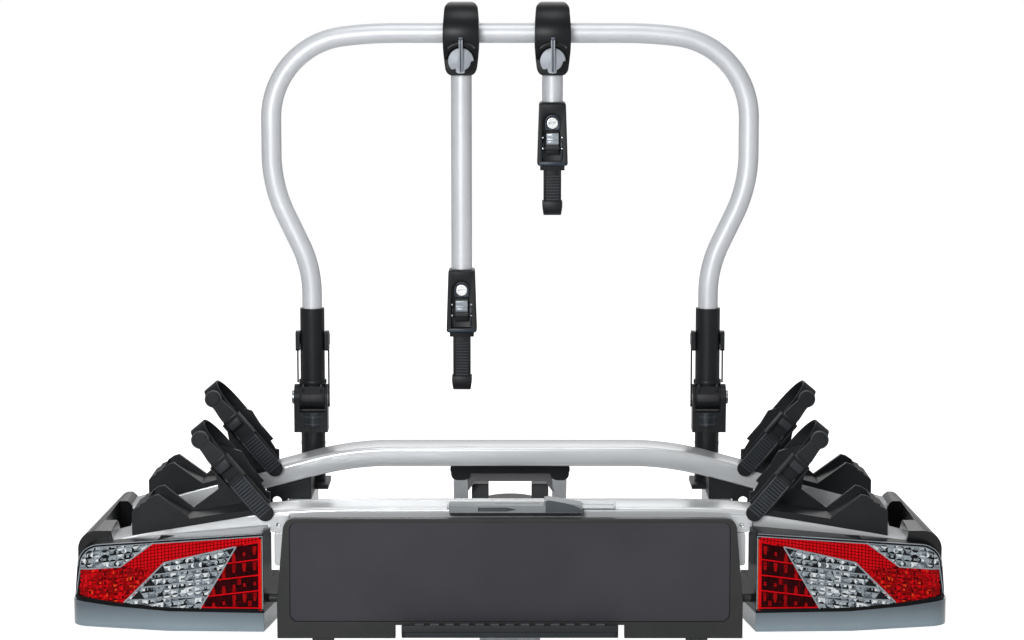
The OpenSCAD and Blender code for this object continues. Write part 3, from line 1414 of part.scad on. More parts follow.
module plate_latch() {
    low_z = front_rail_z + seat + latch_t / 2 + seat;
    color([0.37, 0.39, 0.41]) difference() {
        union() {
            block([latch_x0, latch_y0 + 6, low_z], [latch_x1, latch_y1 - latch_t - seat, low_z + latch_t]);
            along_y(latch_y0, latch_y1 - latch_t - seat) polygon([[latch_x1 - cut, low_z], [latch_x1 - cut, wedge_top_z - 1],
                [latch_x1 + 4, wedge_top_z], [(latch_x1 + latch_x2) / 2, wedge_top_z - 3], [latch_x2, low_z + latch_t], [latch_x2, low_z]]);
            block([latch_x0, latch_y0, latch_low_z], [latch_x2, latch_y0 + 5.5, low_z + latch_t]);
        }
        translate([latch_x1 - arrow_l - arrow_head - 6, (latch_y0 + latch_y1) / 2, low_z + latch_t - arrow_deep]) linear_extrude(height = cut)
            polygon([[0, -arrow_w / 2], [arrow_l, -arrow_w / 2], [arrow_l, -arrow_head], [arrow_l + arrow_head, 0],
                [arrow_l, arrow_head], [arrow_l, arrow_w / 2], [0, arrow_w / 2]]);
    }
}

// Foot pedal
module pedal_tread() {
    y0 = tread_front_y;
    color([0.13, 0.13, 0.14]) {
        along_x(-tread_w / 2, tread_w / 2) polygon([[y0, tread_top_z], [y0 + tread_t, tread_top_z],
            [y0 + 1.5 * tread_t, tread_bottom_z + tread_t], [tread_back_y, tread_bottom_z + tread_t], [tread_back_y, tread_bottom_z],
            [y0 + tread_t, tread_bottom_z], [y0 - tread_t / 4, tread_top_z - 2 * tread_t]]);
        for (i = [0 : tread_ribs - 1]) {
            y = y0 + 2 * tread_t + i * (tread_back_y - y0 - 4 * tread_t) / tread_ribs;
            block([-tread_w / 2 + tread_rib_w, y, tread_bottom_z + tread_t - cut], [tread_w / 2 - tread_rib_w, y + tread_rib_w, tread_bottom_z + tread_t + tread_rib_h]);
        }
    }
}

module pedal_rocker() {
    pivot = [pedal_pivot_y, pedal_pivot_z];
    front = [tread_back_y - 14, tread_bottom_z - seat - rocker_r / 2];
    knee = [pedal_pivot_y - 2 * rocker_r, front[1]];
    nose_y = striker_y + striker_d / 2 + hook_gap + hook_t / 2;
    over_z = drawbar_z + striker_d / 2 + hook_gap + hook_r + hook_gap;
    color([0.5, 0.51, 0.52]) {
        both_sides() along_x(rocker_arm_x, rocker_arm_x + rocker_arm_t) {
            link(pivot, knee, rocker_r, rocker_r * 0.6);
            link(knee, front, rocker_r * 0.6, rocker_r / 2);
        }
        along_x(-rocker_arm_x - cut, rocker_arm_x + cut) translate(front) circle(rocker_r / 2);
        along_x(-ear_x - ear_t, ear_x + ear_t) translate(pivot) circle(journal_r);
        along_x(-rocker_arm_t / 2, rocker_arm_t / 2) {
            link(pivot, [nose_y, over_z], rocker_r, hook_r);
            block_2d([nose_y - hook_t / 2, drawbar_z - hook_nose], [nose_y + hook_t / 2, over_z]);
        }
    }
}

// Torsion spring round the journal as one unbroken tube
function coil_point(a) = [spring_x + spring_pitch * a / 360, pedal_pivot_y + spring_r * cos(a), pedal_pivot_z + spring_r * sin(a)];

module pedal_spring() {
    n = spring_turns * spring_steps;
    r = spring_wire / 2;
    rings = [for (i = [0 : n]) let (a = 360 * i / spring_steps, p = coil_point(a))
        [for (j = [0 : spring_sides - 1]) let (b = 360 * j / spring_sides)
            p + [r * sin(b), r * cos(b) * cos(a), r * cos(b) * sin(a)]]];
    points = [for (ring = rings) for (p = ring) p];
    m = spring_sides;
    faces = concat(
        [for (i = [0 : n - 1], j = [0 : m - 1]) [i * m + j, (i + 1) * m + j, i * m + (j + 1) % m]],
        [for (i = [0 : n - 1], j = [0 : m - 1]) [(i + 1) * m + j, (i + 1) * m + (j + 1) % m, i * m + (j + 1) % m]],
        [[for (j = [0 : m - 1]) j]], [[for (j = [m - 1 : -1 : 0]) n * m + j]]);
    color([0.6, 0.61, 0.62]) polyhedron(points = points, faces = faces);
}

coupling_housing();
coupling_pins();
clamp_jaw();
base_frame();
guide_pads();
lever_frame();
lever_grip();
front_rail();
rear_rail();
side_beams();
crossmember();
rail_brackets();
rail_fascias();
side_covers();
pivot_feet();
pivot_pins();
latch_guide();
pedal_spring();
pedal_tread();
pedal_rocker();
plate_frame();
plate_panel();
plate_latch();
lamp_housings();
lamp_lenses();
lamp_reflectors();
lamp_covers();
u_bar();
bar_sleeves();
fold_release_left();
fold_release_right();
long_liner();
long_clamp();
long_arm();
long_head();
long_strap();
long_knob();
long_buckle();
long_lock();
short_liner();
short_clamp();
short_arm();
short_head();
short_strap();
short_knob();
short_buckle();
short_lock();
tray_front_left();
tray_front_right();
tray_rear_left();
tray_rear_right();
strap_front_left();
strap_front_right();
strap_rear_left();
strap_rear_right();
strap_lever_front_left();
strap_lever_front_right();
strap_lever_rear_left();
strap_lever_rear_right();
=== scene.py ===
"""The looks of a two-bike rack for a tow ball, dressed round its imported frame.

Lengths in the classes are in millimetres, in the frame of the part: the origin is the centre of
the tow ball, X to the right, Y towards the towing car and Z up.
"""

import json  # noqa: E402
import logging  # noqa: E402
import math  # noqa: E402
import random  # noqa: E402
from collections.abc import Iterable, Sequence  # noqa: E402
from dataclasses import dataclass, field  # noqa: E402
from enum import Enum  # noqa: E402

import bmesh  # noqa: E402
import bpy  # noqa: E402
from mathutils import Matrix, Vector  # noqa: E402

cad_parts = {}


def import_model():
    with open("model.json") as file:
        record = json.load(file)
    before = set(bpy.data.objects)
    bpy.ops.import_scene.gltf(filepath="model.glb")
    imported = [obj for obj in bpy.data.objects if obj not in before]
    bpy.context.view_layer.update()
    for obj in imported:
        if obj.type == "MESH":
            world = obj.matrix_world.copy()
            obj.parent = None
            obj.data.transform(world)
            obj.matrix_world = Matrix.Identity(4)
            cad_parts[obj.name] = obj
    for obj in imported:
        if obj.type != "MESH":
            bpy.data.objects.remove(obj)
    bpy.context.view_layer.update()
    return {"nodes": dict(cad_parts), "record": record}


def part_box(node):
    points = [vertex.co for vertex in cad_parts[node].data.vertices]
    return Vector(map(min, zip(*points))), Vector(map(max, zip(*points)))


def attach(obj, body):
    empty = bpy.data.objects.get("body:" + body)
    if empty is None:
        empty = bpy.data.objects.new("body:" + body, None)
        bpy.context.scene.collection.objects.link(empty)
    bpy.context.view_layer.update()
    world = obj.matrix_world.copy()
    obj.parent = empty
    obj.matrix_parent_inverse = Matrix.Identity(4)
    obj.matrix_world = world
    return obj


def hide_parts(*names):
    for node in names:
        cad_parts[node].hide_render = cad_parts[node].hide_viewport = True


LOG = logging.getLogger("bike_rack")
MM = 0.001

# How near points are joined: on a node and on a piece in metres, in a form in millimetres
NODE_WELD = 2e-6
PIECE_WELD = 1e-7
FORM_WELD = 1e-4

# The sockets of a colour mix, which share their names with those of its other kinds
MIX_FACTOR, MIX_A, MIX_B, MIX_RESULT = 0, 6, 7, 2

Point2 = tuple[float, float]
Point3 = tuple[float, float, float]


# Finishes


class Grain(Enum):
    """The way that a finish's fine lines run."""

    EVEN = (1.0, 1.0, 1.0)
    ALONG_X = (0.02, 1.0, 1.0)


def linear(code: str) -> tuple[float, float, float, float]:
    """Turns a written colour into scene values.

    Args:
        code: The colour as six hexadecimal digits.

    Returns:
        Red, green, blue and alpha in linear light.
    """
    parts = [int(code[i : i + 2], 16) / 255 for i in (0, 2, 4)]
    lit = [p / 12.92 if p <= 0.04045 else ((p + 0.055) / 1.055) ** 2.4 for p in parts]
    return (lit[0], lit[1], lit[2], 1.0)


def group_named(name: str) -> bpy.types.NodeTree | None:
    """Returns the node group of that name, or None before it is built."""
    return bpy.data.node_groups.get(name)


def fill(node: bpy.types.Node, values: dict[str, object]) -> None:
    """Sets a node's inputs by their names."""
    for name, value in values.items():
        node.inputs[name].default_value = value


def maths(
    tree: bpy.types.NodeTree, way: str, *values: bpy.types.NodeSocket | float
) -> bpy.types.NodeSocket:
    """Adds a node that works out one number.

    Args:
        tree: The shader tree.
        way: The operation.
        values: What it works on, as sockets or plain numbers.

    Returns:
        The socket of the result.
    """
    node = tree.nodes.new("ShaderNodeMath")
    node.operation = way
    for place, value in zip(node.inputs, values):
        if isinstance(value, bpy.types.NodeSocket):
            tree.links.new(value, place)
        else:
            place.default_value = value
    return node.outputs[0]


def mottle_group() -> bpy.types.NodeTree:
    """Builds the group that gives a surface its shade variation and grain.

    Returns:
        The group, with Color, Roughness and Height as outputs.
    """
    found = group_named("moulded_mottle")
    if found:
        return found
    tree = bpy.data.node_groups.new("moulded_mottle", "ShaderNodeTree")
    for name, kind, value in (
        ("Color", "Color", (0.5, 0.5, 0.5, 1.0)),
        ("Shade", "Color", (0.3, 0.3, 0.3, 1.0)),
        ("Roughness", "Float", 0.4),
        ("Spread", "Float", 0.1),
        ("Patch Scale", "Float", 20.0),
        ("Grain Scale", "Float", 2000.0),
        ("Grain Way", "Vector", (1.0, 1.0, 1.0)),
    ):
        made = tree.interface.new_socket(name, in_out="INPUT", socket_type=f"NodeSocket{kind}")
        made.default_value = value
    for name, kind in (("Color", "Color"), ("Roughness", "Float"), ("Height", "Float")):
        tree.interface.new_socket(name, in_out="OUTPUT", socket_type=f"NodeSocket{kind}")
    nodes, links = tree.nodes, tree.links
    given = nodes.new("NodeGroupInput")
    out = nodes.new("NodeGroupOutput")
    place = nodes.new("ShaderNodeTexCoord")
    patch = nodes.new("ShaderNodeTexNoise")
    fill(patch, {"Detail": 3.0})
    links.new(place.outputs["Object"], patch.inputs["Vector"])
    links.new(given.outputs["Patch Scale"], patch.inputs["Scale"])
    ramp = nodes.new("ShaderNodeMapRange")
    fill(ramp, {"From Min": 0.35, "From Max": 0.65})
    links.new(patch.outputs["Fac"], ramp.inputs["Value"])
    blend = nodes.new("ShaderNodeMix")
    blend.data_type = "RGBA"
    links.new(ramp.outputs["Result"], blend.inputs[MIX_FACTOR])
    links.new(given.outputs["Color"], blend.inputs[MIX_A])
    links.new(given.outputs["Shade"], blend.inputs[MIX_B])
    links.new(blend.outputs[MIX_RESULT], out.inputs["Color"])
    way = nodes.new("ShaderNodeVectorMath")
    way.operation = "MULTIPLY"
    links.new(place.outputs["Object"], way.inputs[0])
    links.new(given.outputs["Grain Way"], way.inputs[1])
    grain = nodes.new("ShaderNodeTexNoise")
    fill(grain, {"Detail": 2.0})
    links.new(way.outputs["Vector"], grain.inputs["Vector"])
    links.new(given.outputs["Grain Scale"], grain.inputs["Scale"])
    links.new(grain.outputs["Fac"], out.inputs["Height"])
    both = maths(tree, "ADD", patch.outputs["Fac"], grain.outputs["Fac"])
    centred = maths(tree, "SUBTRACT", both, 1.0)
    scaled = maths(
        tree, "MULTIPLY_ADD", centred, given.outputs["Spread"], given.outputs["Roughness"]
    )
    links.new(scaled, out.inputs["Roughness"])
    return tree


@dataclass(frozen=True)
class PaintedFade:
    """A soft change of a finish to another tone, between two heights in millimetres.

    It paints a reflection into the colour: on the lamp covers, darker towards the top.
    """

    tone: str
    start: float
    end: float

    def lay(self, tree: bpy.types.NodeTree, color: bpy.types.NodeSocket) -> bpy.types.NodeSocket:
        """Adds the change to a material.

        Args:
            tree: The material's shader tree.
            color: The colour that it starts from.

        Returns:
            The socket of the changed colour.
        """
        nodes, links = tree.nodes, tree.links
        place, split = nodes.new("ShaderNodeTexCoord"), nodes.new("ShaderNodeSeparateXYZ")
        share, mix = nodes.new("ShaderNodeMapRange"), nodes.new("ShaderNodeMix")
        mix.data_type = "RGBA"
        fill(share, {"From Min": self.start * MM, "From Max": self.end * MM})
        links.new(place.outputs["Object"], split.inputs["Vector"])
        links.new(split.outputs["Z"], share.inputs["Value"])
        links.new(share.outputs["Result"], mix.inputs[MIX_FACTOR])
        links.new(color, mix.inputs[MIX_A])
        mix.inputs[MIX_B].default_value = linear(self.tone)
        return mix.outputs[MIX_RESULT]


@dataclass(frozen=True)
class Finish:
    """One surface finish of the rack, and how its material is made.

    Sizes of the patches and of the grain are in millimetres.
    """

    name: str
    slot: str
    color: str
    shade: str
    roughness: float
    spread: float = 0.1
    metallic: float = 0.0
    patch: float = 60.0
    grain: float = 0.5
    grain_depth: float = 0.02
    way: Grain = Grain.EVEN
    coat: float = 0.0
    coat_roughness: float = 0.05
    specular: float = 0.5
    painted_fade: PaintedFade | None = None

    def material(self) -> bpy.types.Material:
        """Builds the material once and returns it."""
        found = bpy.data.materials.get(self.name)
        if found:
            return found
        made = bpy.data.materials.new(self.name)
        made.use_nodes = True
        nodes, links = made.node_tree.nodes, made.node_tree.links
        shader = nodes["Principled BSDF"]
        mottle = nodes.new("ShaderNodeGroup")
        mottle.node_tree = mottle_group()
        mottle_values = {
            "Color": linear(self.color),
            "Shade": linear(self.shade),
            "Roughness": self.roughness,
            "Spread": self.spread,
            "Patch Scale": 1 / (self.patch * MM),
            "Grain Scale": 1 / (self.grain * MM),
            "Grain Way": self.way.value,
        }
        fill(mottle, mottle_values)
        color = mottle.outputs["Color"]
        if self.painted_fade:
            color = self.painted_fade.lay(made.node_tree, color)
        links.new(color, shader.inputs["Base Color"])
        links.new(mottle.outputs["Roughness"], shader.inputs["Roughness"])
        bump = nodes.new("ShaderNodeBump")
        fill(bump, {"Strength": 1.0, "Distance": self.grain_depth * MM})
        links.new(mottle.outputs["Height"], bump.inputs["Height"])
        links.new(bump.outputs["Normal"], shader.inputs["Normal"])
        shader_values = {
            "Metallic": self.metallic,
            "Coat Weight": self.coat,
            "Coat Roughness": self.coat_roughness,
            "Specular IOR Level": self.specular,
        }
        fill(shader, shader_values)
        made.diffuse_color = linear(self.color)
        return made


POWDER_BLACK = Finish(
    "powder_black", "cast_black", "1f2124", "191b1e", 0.46, specular=0.22, patch=40, grain=0.7,
    grain_depth=0.05,
)
FRAME_STEEL = Finish(
    "frame_steel", "steel_frame", "232528", "1d1f22", 0.42, specular=0.22, patch=50, grain=0.8,
    grain_depth=0.05,
)
ZINC = Finish(
    "zinc_plate", "zinc_steel", "b4b7ba", "a1a5aa", 0.34, metallic=1.0, patch=12, grain=0.4,
    grain_depth=0.01,
)
SLIDE_PLASTIC = Finish("slide_plastic", "guide_plastic", "d8d7d0", "cbc9c1", 0.5, patch=20)
LEVER_CAST = Finish(
    "lever_cast", "lever_metal", "e4e7ea", "dadee2", 0.38, metallic=0.15, patch=25, grain=0.5,
    grain_depth=0.03,
)
LEVER_INSERT = Finish(
    "lever_insert", "lever_metal", "6c6b6e", "666568", 0.42, specular=0.2, patch=25, grain=0.5,
    grain_depth=0.02,
)
BLACK_MOULDED = Finish(
    "black_moulded", "black_plastic", "1f2124", "191b1e", 0.4, specular=0.22, patch=35, grain=0.45,
    grain_depth=0.03,
)
SATIN_TUBE = Finish(
    "satin_tube", "tube_aluminium", "e2e5e9", "dadde2", 0.44, spread=0.02, metallic=0.24,
    specular=0.3, patch=80, grain=0.3, grain_depth=0.001,
)
RAIL_SATIN = Finish(
    "rail_satin", "tube_aluminium", "dee1e3", "d6d9dc", 0.24, spread=0.05, metallic=0.32,
    specular=0.5, patch=90, grain=0.3, grain_depth=0.002, way=Grain.ALONG_X,
)
GLOSS_BLACK = Finish(
    "gloss_moulded", "gloss_black", "101113", "0d0e10", 0.24, spread=0.02, coat=0.12, specular=0.3,
    patch=80, grain=3.0, grain_depth=0.004, coat_roughness=0.2,
)
HOUSING_BLACK = Finish(
    "housing_moulded", "gloss_black", "0c0d0f", "090a0c", 0.3, spread=0.02, specular=0.12, patch=80,
    grain=3.0, grain_depth=0.004,
)
STRAP_RUBBER = Finish(
    "strap_moulded", "strap_rubber", "1b1d20", "16181a", 0.5, specular=0.2, patch=18, grain=0.35,
    grain_depth=0.03,
)
CLAMP_BLACK = Finish(
    "clamp_black", "black_plastic", "17191c", "131518", 0.36, specular=0.2, patch=35, grain=0.5,
    grain_depth=0.01,
)
KNOB_BLUE = Finish(
    "slate_moulded", "black_plastic", "2b3745", "26313e", 0.34, specular=0.3, patch=20, grain=0.4,
    grain_depth=0.01,
)
STRAP_RIB = Finish(
    "strap_rib", "strap_rubber", "33373d", "2c3036", 0.4, specular=0.3, patch=18, grain=0.35,
    grain_depth=0.01,
)
STRAP_RIM = Finish(
    "strap_rim", "strap_rubber", "4c5056", "43474d", 0.32, specular=0.4, patch=18, grain=0.35,
    grain_depth=0.005,
)
# Near-black that paints the shade in the clamp's slot and on the fold joint's seat.
SHADE_PAINT_BLACK = Finish("shade_paint_black", "black_plastic", "060607", "040405", 0.6, specular=0.05, patch=20)
GUIDE_SATIN = Finish(
    "guide_satin", "latch_grey", "c9cdd0", "c1c5c8", 0.3, metallic=0.3, patch=25, grain=0.4,
    grain_depth=0.004,
)
LATCH_SLATE = Finish(
    "latch_slate", "latch_grey", "4a5158", "434a51", 0.3, specular=0.4, patch=25, grain=0.45,
    grain_depth=0.01,
)
KNUCKLE_GRAIN = Finish(
    "knuckle_grain", "black_plastic", "38383b", "323235", 0.5, specular=0.25, patch=12, grain=0.9,
    grain_depth=0.12,
)
BLOCK_SLATE = Finish(
    "block_slate", "cast_black", "22282e", "1d2328", 0.3, specular=0.4, patch=25, grain=0.5,
    grain_depth=0.01,
)
KNOB_DARK = Finish(
    "knob_dark", "knob_grey", "5f6872", "59626b", 0.38, specular=0.3, patch=10, grain=0.4,
    grain_depth=0.01,
)
PAD_SILVER = Finish(
    "pad_silver", "lever_metal", "a3abb2", "9aa2a9", 0.26, metallic=0.4, patch=12, grain=0.4,
    grain_depth=0.004,
)
KNOB_GREY = Finish(
    "knob_moulded", "knob_grey", "aab0b8", "a3a9b1", 0.4, metallic=0.1, patch=15, grain=0.4,
    grain_depth=0.01, specular=0.3,
)
LOCK_CHROME = Finish(
    "chrome_plating", "lock_chrome", "f2f4f5", "e9ebed", 0.22, spread=0.03, metallic=0.5, patch=10,
    grain=0.3, grain_depth=0.0,
)
PLATE_GREY = Finish(
    "plate_sheet", "plate_grey", "434248", "3e3d43", 0.35, specular=0.15, spread=0.04, patch=120,
    grain=0.6, grain_depth=0.008,
)
FRAME_GREY = Finish(
    "frame_moulded", "frame_grey", "333433", "2d2e2e", 0.42, specular=0.25, patch=60, grain=0.5,
    grain_depth=0.02,
)
LATCH_GREY = Finish(
    "latch_moulded", "latch_grey", "8b9195", "848a8e", 0.4, patch=25, grain=0.45, grain_depth=0.02
)
LENS_RED = Finish(
    "lens_bright_red", "lens_red", "e20c18", "d40a14", 0.1, spread=0.02, patch=30, grain=4.0,
    grain_depth=0.002, specular=0.04,
)
LENS_DEEP = Finish(
    "lens_deep_red", "lens_red", "8e050a", "800408", 0.12, spread=0.02, patch=30, grain=4.0,
    grain_depth=0.002, specular=0.04,
)
LENS_SMOKE = Finish(
    "lens_smoke", "lens_red", "38040a", "260306", 0.15, spread=0.02, patch=14, grain=3.0,
    grain_depth=0.002, specular=0.04,
)
# Near-black of the clear zones' ground, dark facets and small triangles: painted shade.
LENS_PAINTED_SHADE = Finish(
    "lens_painted_shade", "lens_red", "16191c", "101215", 0.18, spread=0.02, patch=8, grain=2.0,
    grain_depth=0.002, specular=0.15,
)
LENS_SHADE = Finish(
    "lens_shade", "reflector", "78828a", "6c767e", 0.16, spread=0.02, metallic=0.1, patch=8,
    grain=2.0, grain_depth=0.002, specular=0.2,
)
# Orange that paints glints on the low block's facets and a glow line along the lamp's inner edge.
LENS_GLOW = Finish(
    "lens_glow", "lens_red", "f04a1c", "e03a12", 0.2, spread=0.02, patch=6, grain=2.0,
    grain_depth=0.002, specular=0.1,
)
LENS_BLOOD = Finish(
    "lens_blood", "lens_red", "ac080d", "96060a", 0.14, spread=0.02, patch=12, grain=2.0,
    grain_depth=0.002, specular=0.06,
)
# Near-white facets of the clear zones: painted glints and highlights.
LENS_PAINTED_GLINT = Finish(
    "lens_painted_glint", "lens_red", "f6fafc", "e8eff3", 0.08, spread=0.02, metallic=0.1, patch=8,
    grain=2.0, grain_depth=0.002,
)
REFLECTOR = Finish(
    "reflector_bowl", "reflector", "a9b3ba", "9ca7ae", 0.12, spread=0.03, metallic=0.1, patch=25,
    grain=1.0, grain_depth=0.004, specular=0.2,
)
# The cover's colour darkens towards its top: a painted reflection.
COVER_GREY = Finish(
    "cover_paint", "cover_grey", "8c9da7", "84959f", 0.2, spread=0.03, metallic=0.1, coat=0.8,
    patch=90, grain=2.0, grain_depth=0.004, specular=0.3, painted_fade=PaintedFade("56616a", -39, -17),
)

NODE_FINISHES: dict[str, Finish] = {
    "coupling_housing": POWDER_BLACK,
    "coupling_pins": ZINC,
    "clamp_jaw": ZINC,
    "base_frame": FRAME_STEEL,
    "guide_pads": SLIDE_PLASTIC,
    "lever_frame": LEVER_CAST,
    "lever_grip": BLACK_MOULDED,
    "front_rail": RAIL_SATIN,
    "rear_rail": RAIL_SATIN,
    "side_beams": RAIL_SATIN,
    "crossmember": FRAME_STEEL,
    "rail_brackets": POWDER_BLACK,
    "rail_fascias": RAIL_SATIN,
    "side_covers": GLOSS_BLACK,
    "pivot_feet": POWDER_BLACK,
    "pivot_pins": ZINC,
    "latch_guide": GUIDE_SATIN,
    "pedal_spring": ZINC,
    "pedal_tread": BLACK_MOULDED,
    "pedal_rocker": ZINC,
    "long_clamp": CLAMP_BLACK,
    "short_clamp": CLAMP_BLACK,
    "plate_frame": FRAME_GREY,
    "plate_panel": PLATE_GREY,
    "plate_latch": LATCH_GREY,
    "lamp_housings": HOUSING_BLACK,
    "lamp_lenses": LENS_RED,
    "lamp_reflectors": REFLECTOR,
    "lamp_covers": COVER_GREY,
    "u_bar": SATIN_TUBE,
    "bar_sleeves": BLACK_MOULDED,
    "fold_release_left": BLACK_MOULDED,
    "fold_release_right": BLACK_MOULDED,
}


def finish_of(node: str) -> Finish:
    """Returns the finish that a node's name calls for."""
    if node in NODE_FINISHES:
        return NODE_FINISHES[node]
    if node.startswith(("strap_lever", "tray")):
        return BLACK_MOULDED
    if "strap" in node:
        return STRAP_RUBBER
    if node.endswith("knob"):
        return KNOB_GREY
    if node.endswith("lock"):
        return LOCK_CHROME
    if node.endswith("arm"):
        return SATIN_TUBE
    return BLACK_MOULDED


def paint(piece: bpy.types.Object, *finishes: Finish) -> None:
    """Gives a piece these finishes, in the order of their indices, and no others."""
    piece.data.materials.clear()
    for finish in finishes:
        piece.data.materials.append(finish.material())


def dress_nodes(nodes: dict[str, bpy.types.Object]) -> None:
    """Gives every CAD node the material of its finish.

    Args:
        nodes: The frame's nodes by name.
    """
    for name, node in nodes.items():
        paint(node, finish_of(name))


# Mesh helpers


def link(name: str, mesh: bpy.types.Mesh) -> bpy.types.Object:
    """Puts a mesh in the scene at the origin.

    Args:
        name: The piece's name.
        mesh: Its mesh, with its place in its vertices.

    Returns:
        The new object.
    """
    piece = bpy.data.objects.new(name, mesh)
    bpy.context.scene.collection.objects.link(piece)
    return piece


def settle(piece: bpy.types.Object) -> None:
    """Applies a piece's modifiers and keeps the result as its plain mesh.

    Args:
        piece: The piece to finish.
    """
    graph = bpy.context.evaluated_depsgraph_get()
    done = bpy.data.meshes.new_from_object(piece.evaluated_get(graph), depsgraph=graph)
    old = piece.data
    piece.modifiers.clear()
    piece.data = done
    bpy.data.meshes.remove(old)


def smooth(piece: bpy.types.Object, angle: float = 32.0) -> None:
    """Shades a piece smooth and keeps the edges that turn more than an angle sharp.

    Args:
        piece: The piece to shade.
        angle: The turn of a sharp edge in degrees.
    """
    piece.data.shade_smooth()
    piece.data.set_sharp_from_angle(angle=math.radians(angle))


def round_edges(
    piece: bpy.types.Object, width: float, segments: int = 2, angle: float = 32.0
) -> None:
    """Rounds a piece's edges and applies the result.

    Args:
        piece: The piece to round.
        width: The width of the rounding in millimetres.
        segments: The rows of faces across a rounding.
        angle: The turn of an edge that is rounded, in degrees.
    """
    bevel = piece.modifiers.new("edge_rounding", "BEVEL")
    bevel.width = width * MM
    bevel.segments = segments
    bevel.limit_method = "ANGLE"
    bevel.angle_limit = math.radians(angle)
    bevel.miter_outer = "MITER_ARC"
    bevel.use_clamp_overlap = True
    bevel.harden_normals = False
    settle(piece)


def even_shading(piece: bpy.types.Object) -> None:
    """Turns the shading of a rounded piece's flat faces square to them.

    Args:
        piece: The piece, with its sharp edges marked.
    """
    weigh = piece.modifiers.new("even_shading", "WEIGHTED_NORMAL")
    weigh.keep_sharp = True
    weigh.weight = 50
    settle(piece)


def baked(bm: bmesh.types.BMesh, name: str) -> bpy.types.Mesh:
    """Turns a mesh under construction, which is used up, into a named one."""
    mesh = bpy.data.meshes.new(name)
    bm.to_mesh(mesh)
    bm.free()
    return mesh


def whole(bm: bmesh.types.BMesh) -> list[object]:
    """Returns all the points, edges and faces of a mesh under construction."""
    return bm.verts[:] + bm.edges[:] + bm.faces[:]


def of_kind(geometry: Iterable[object], kind: type) -> list[object]:
    """Returns what is of one kind, such as a face, among the geometry that a step has made."""
    return [g for g in geometry if isinstance(g, kind)]


def welded_copy(node: bpy.types.Object, name: str, flat: float = 0.6) -> bpy.types.Object:
    """Copies a CAD node with its triangles joined and its flat faces made whole.

    Args:
        node: The CAD node.
        name: The copy's name.
        flat: The turn between faces that still counts as flat, in degrees.

    Returns:
        The copy, which rides on nothing yet.
    """
    bm = bmesh.new()
    bm.from_mesh(node.data)
    bmesh.ops.remove_doubles(bm, verts=bm.verts, dist=NODE_WELD)
    bmesh.ops.dissolve_limit(
        bm,
        angle_limit=math.radians(flat),
        use_dissolve_boundaries=False,
        verts=bm.verts,
        edges=bm.edges,
    )
    return link(name, baked(bm, name))


class Plane(Enum):
    """The plane of an outline; what is extruded runs along the third axis."""

    XY = "xy"
    XZ = "xz"
    YZ = "yz"

    def point(self, u: float, v: float, w: float) -> Point3:
        """Places a point by its two coordinates in the plane and its height over it."""
        if self is Plane.XY:
            return (u, v, w)
        if self is Plane.XZ:
            return (u, w, v)
        return (w, u, v)


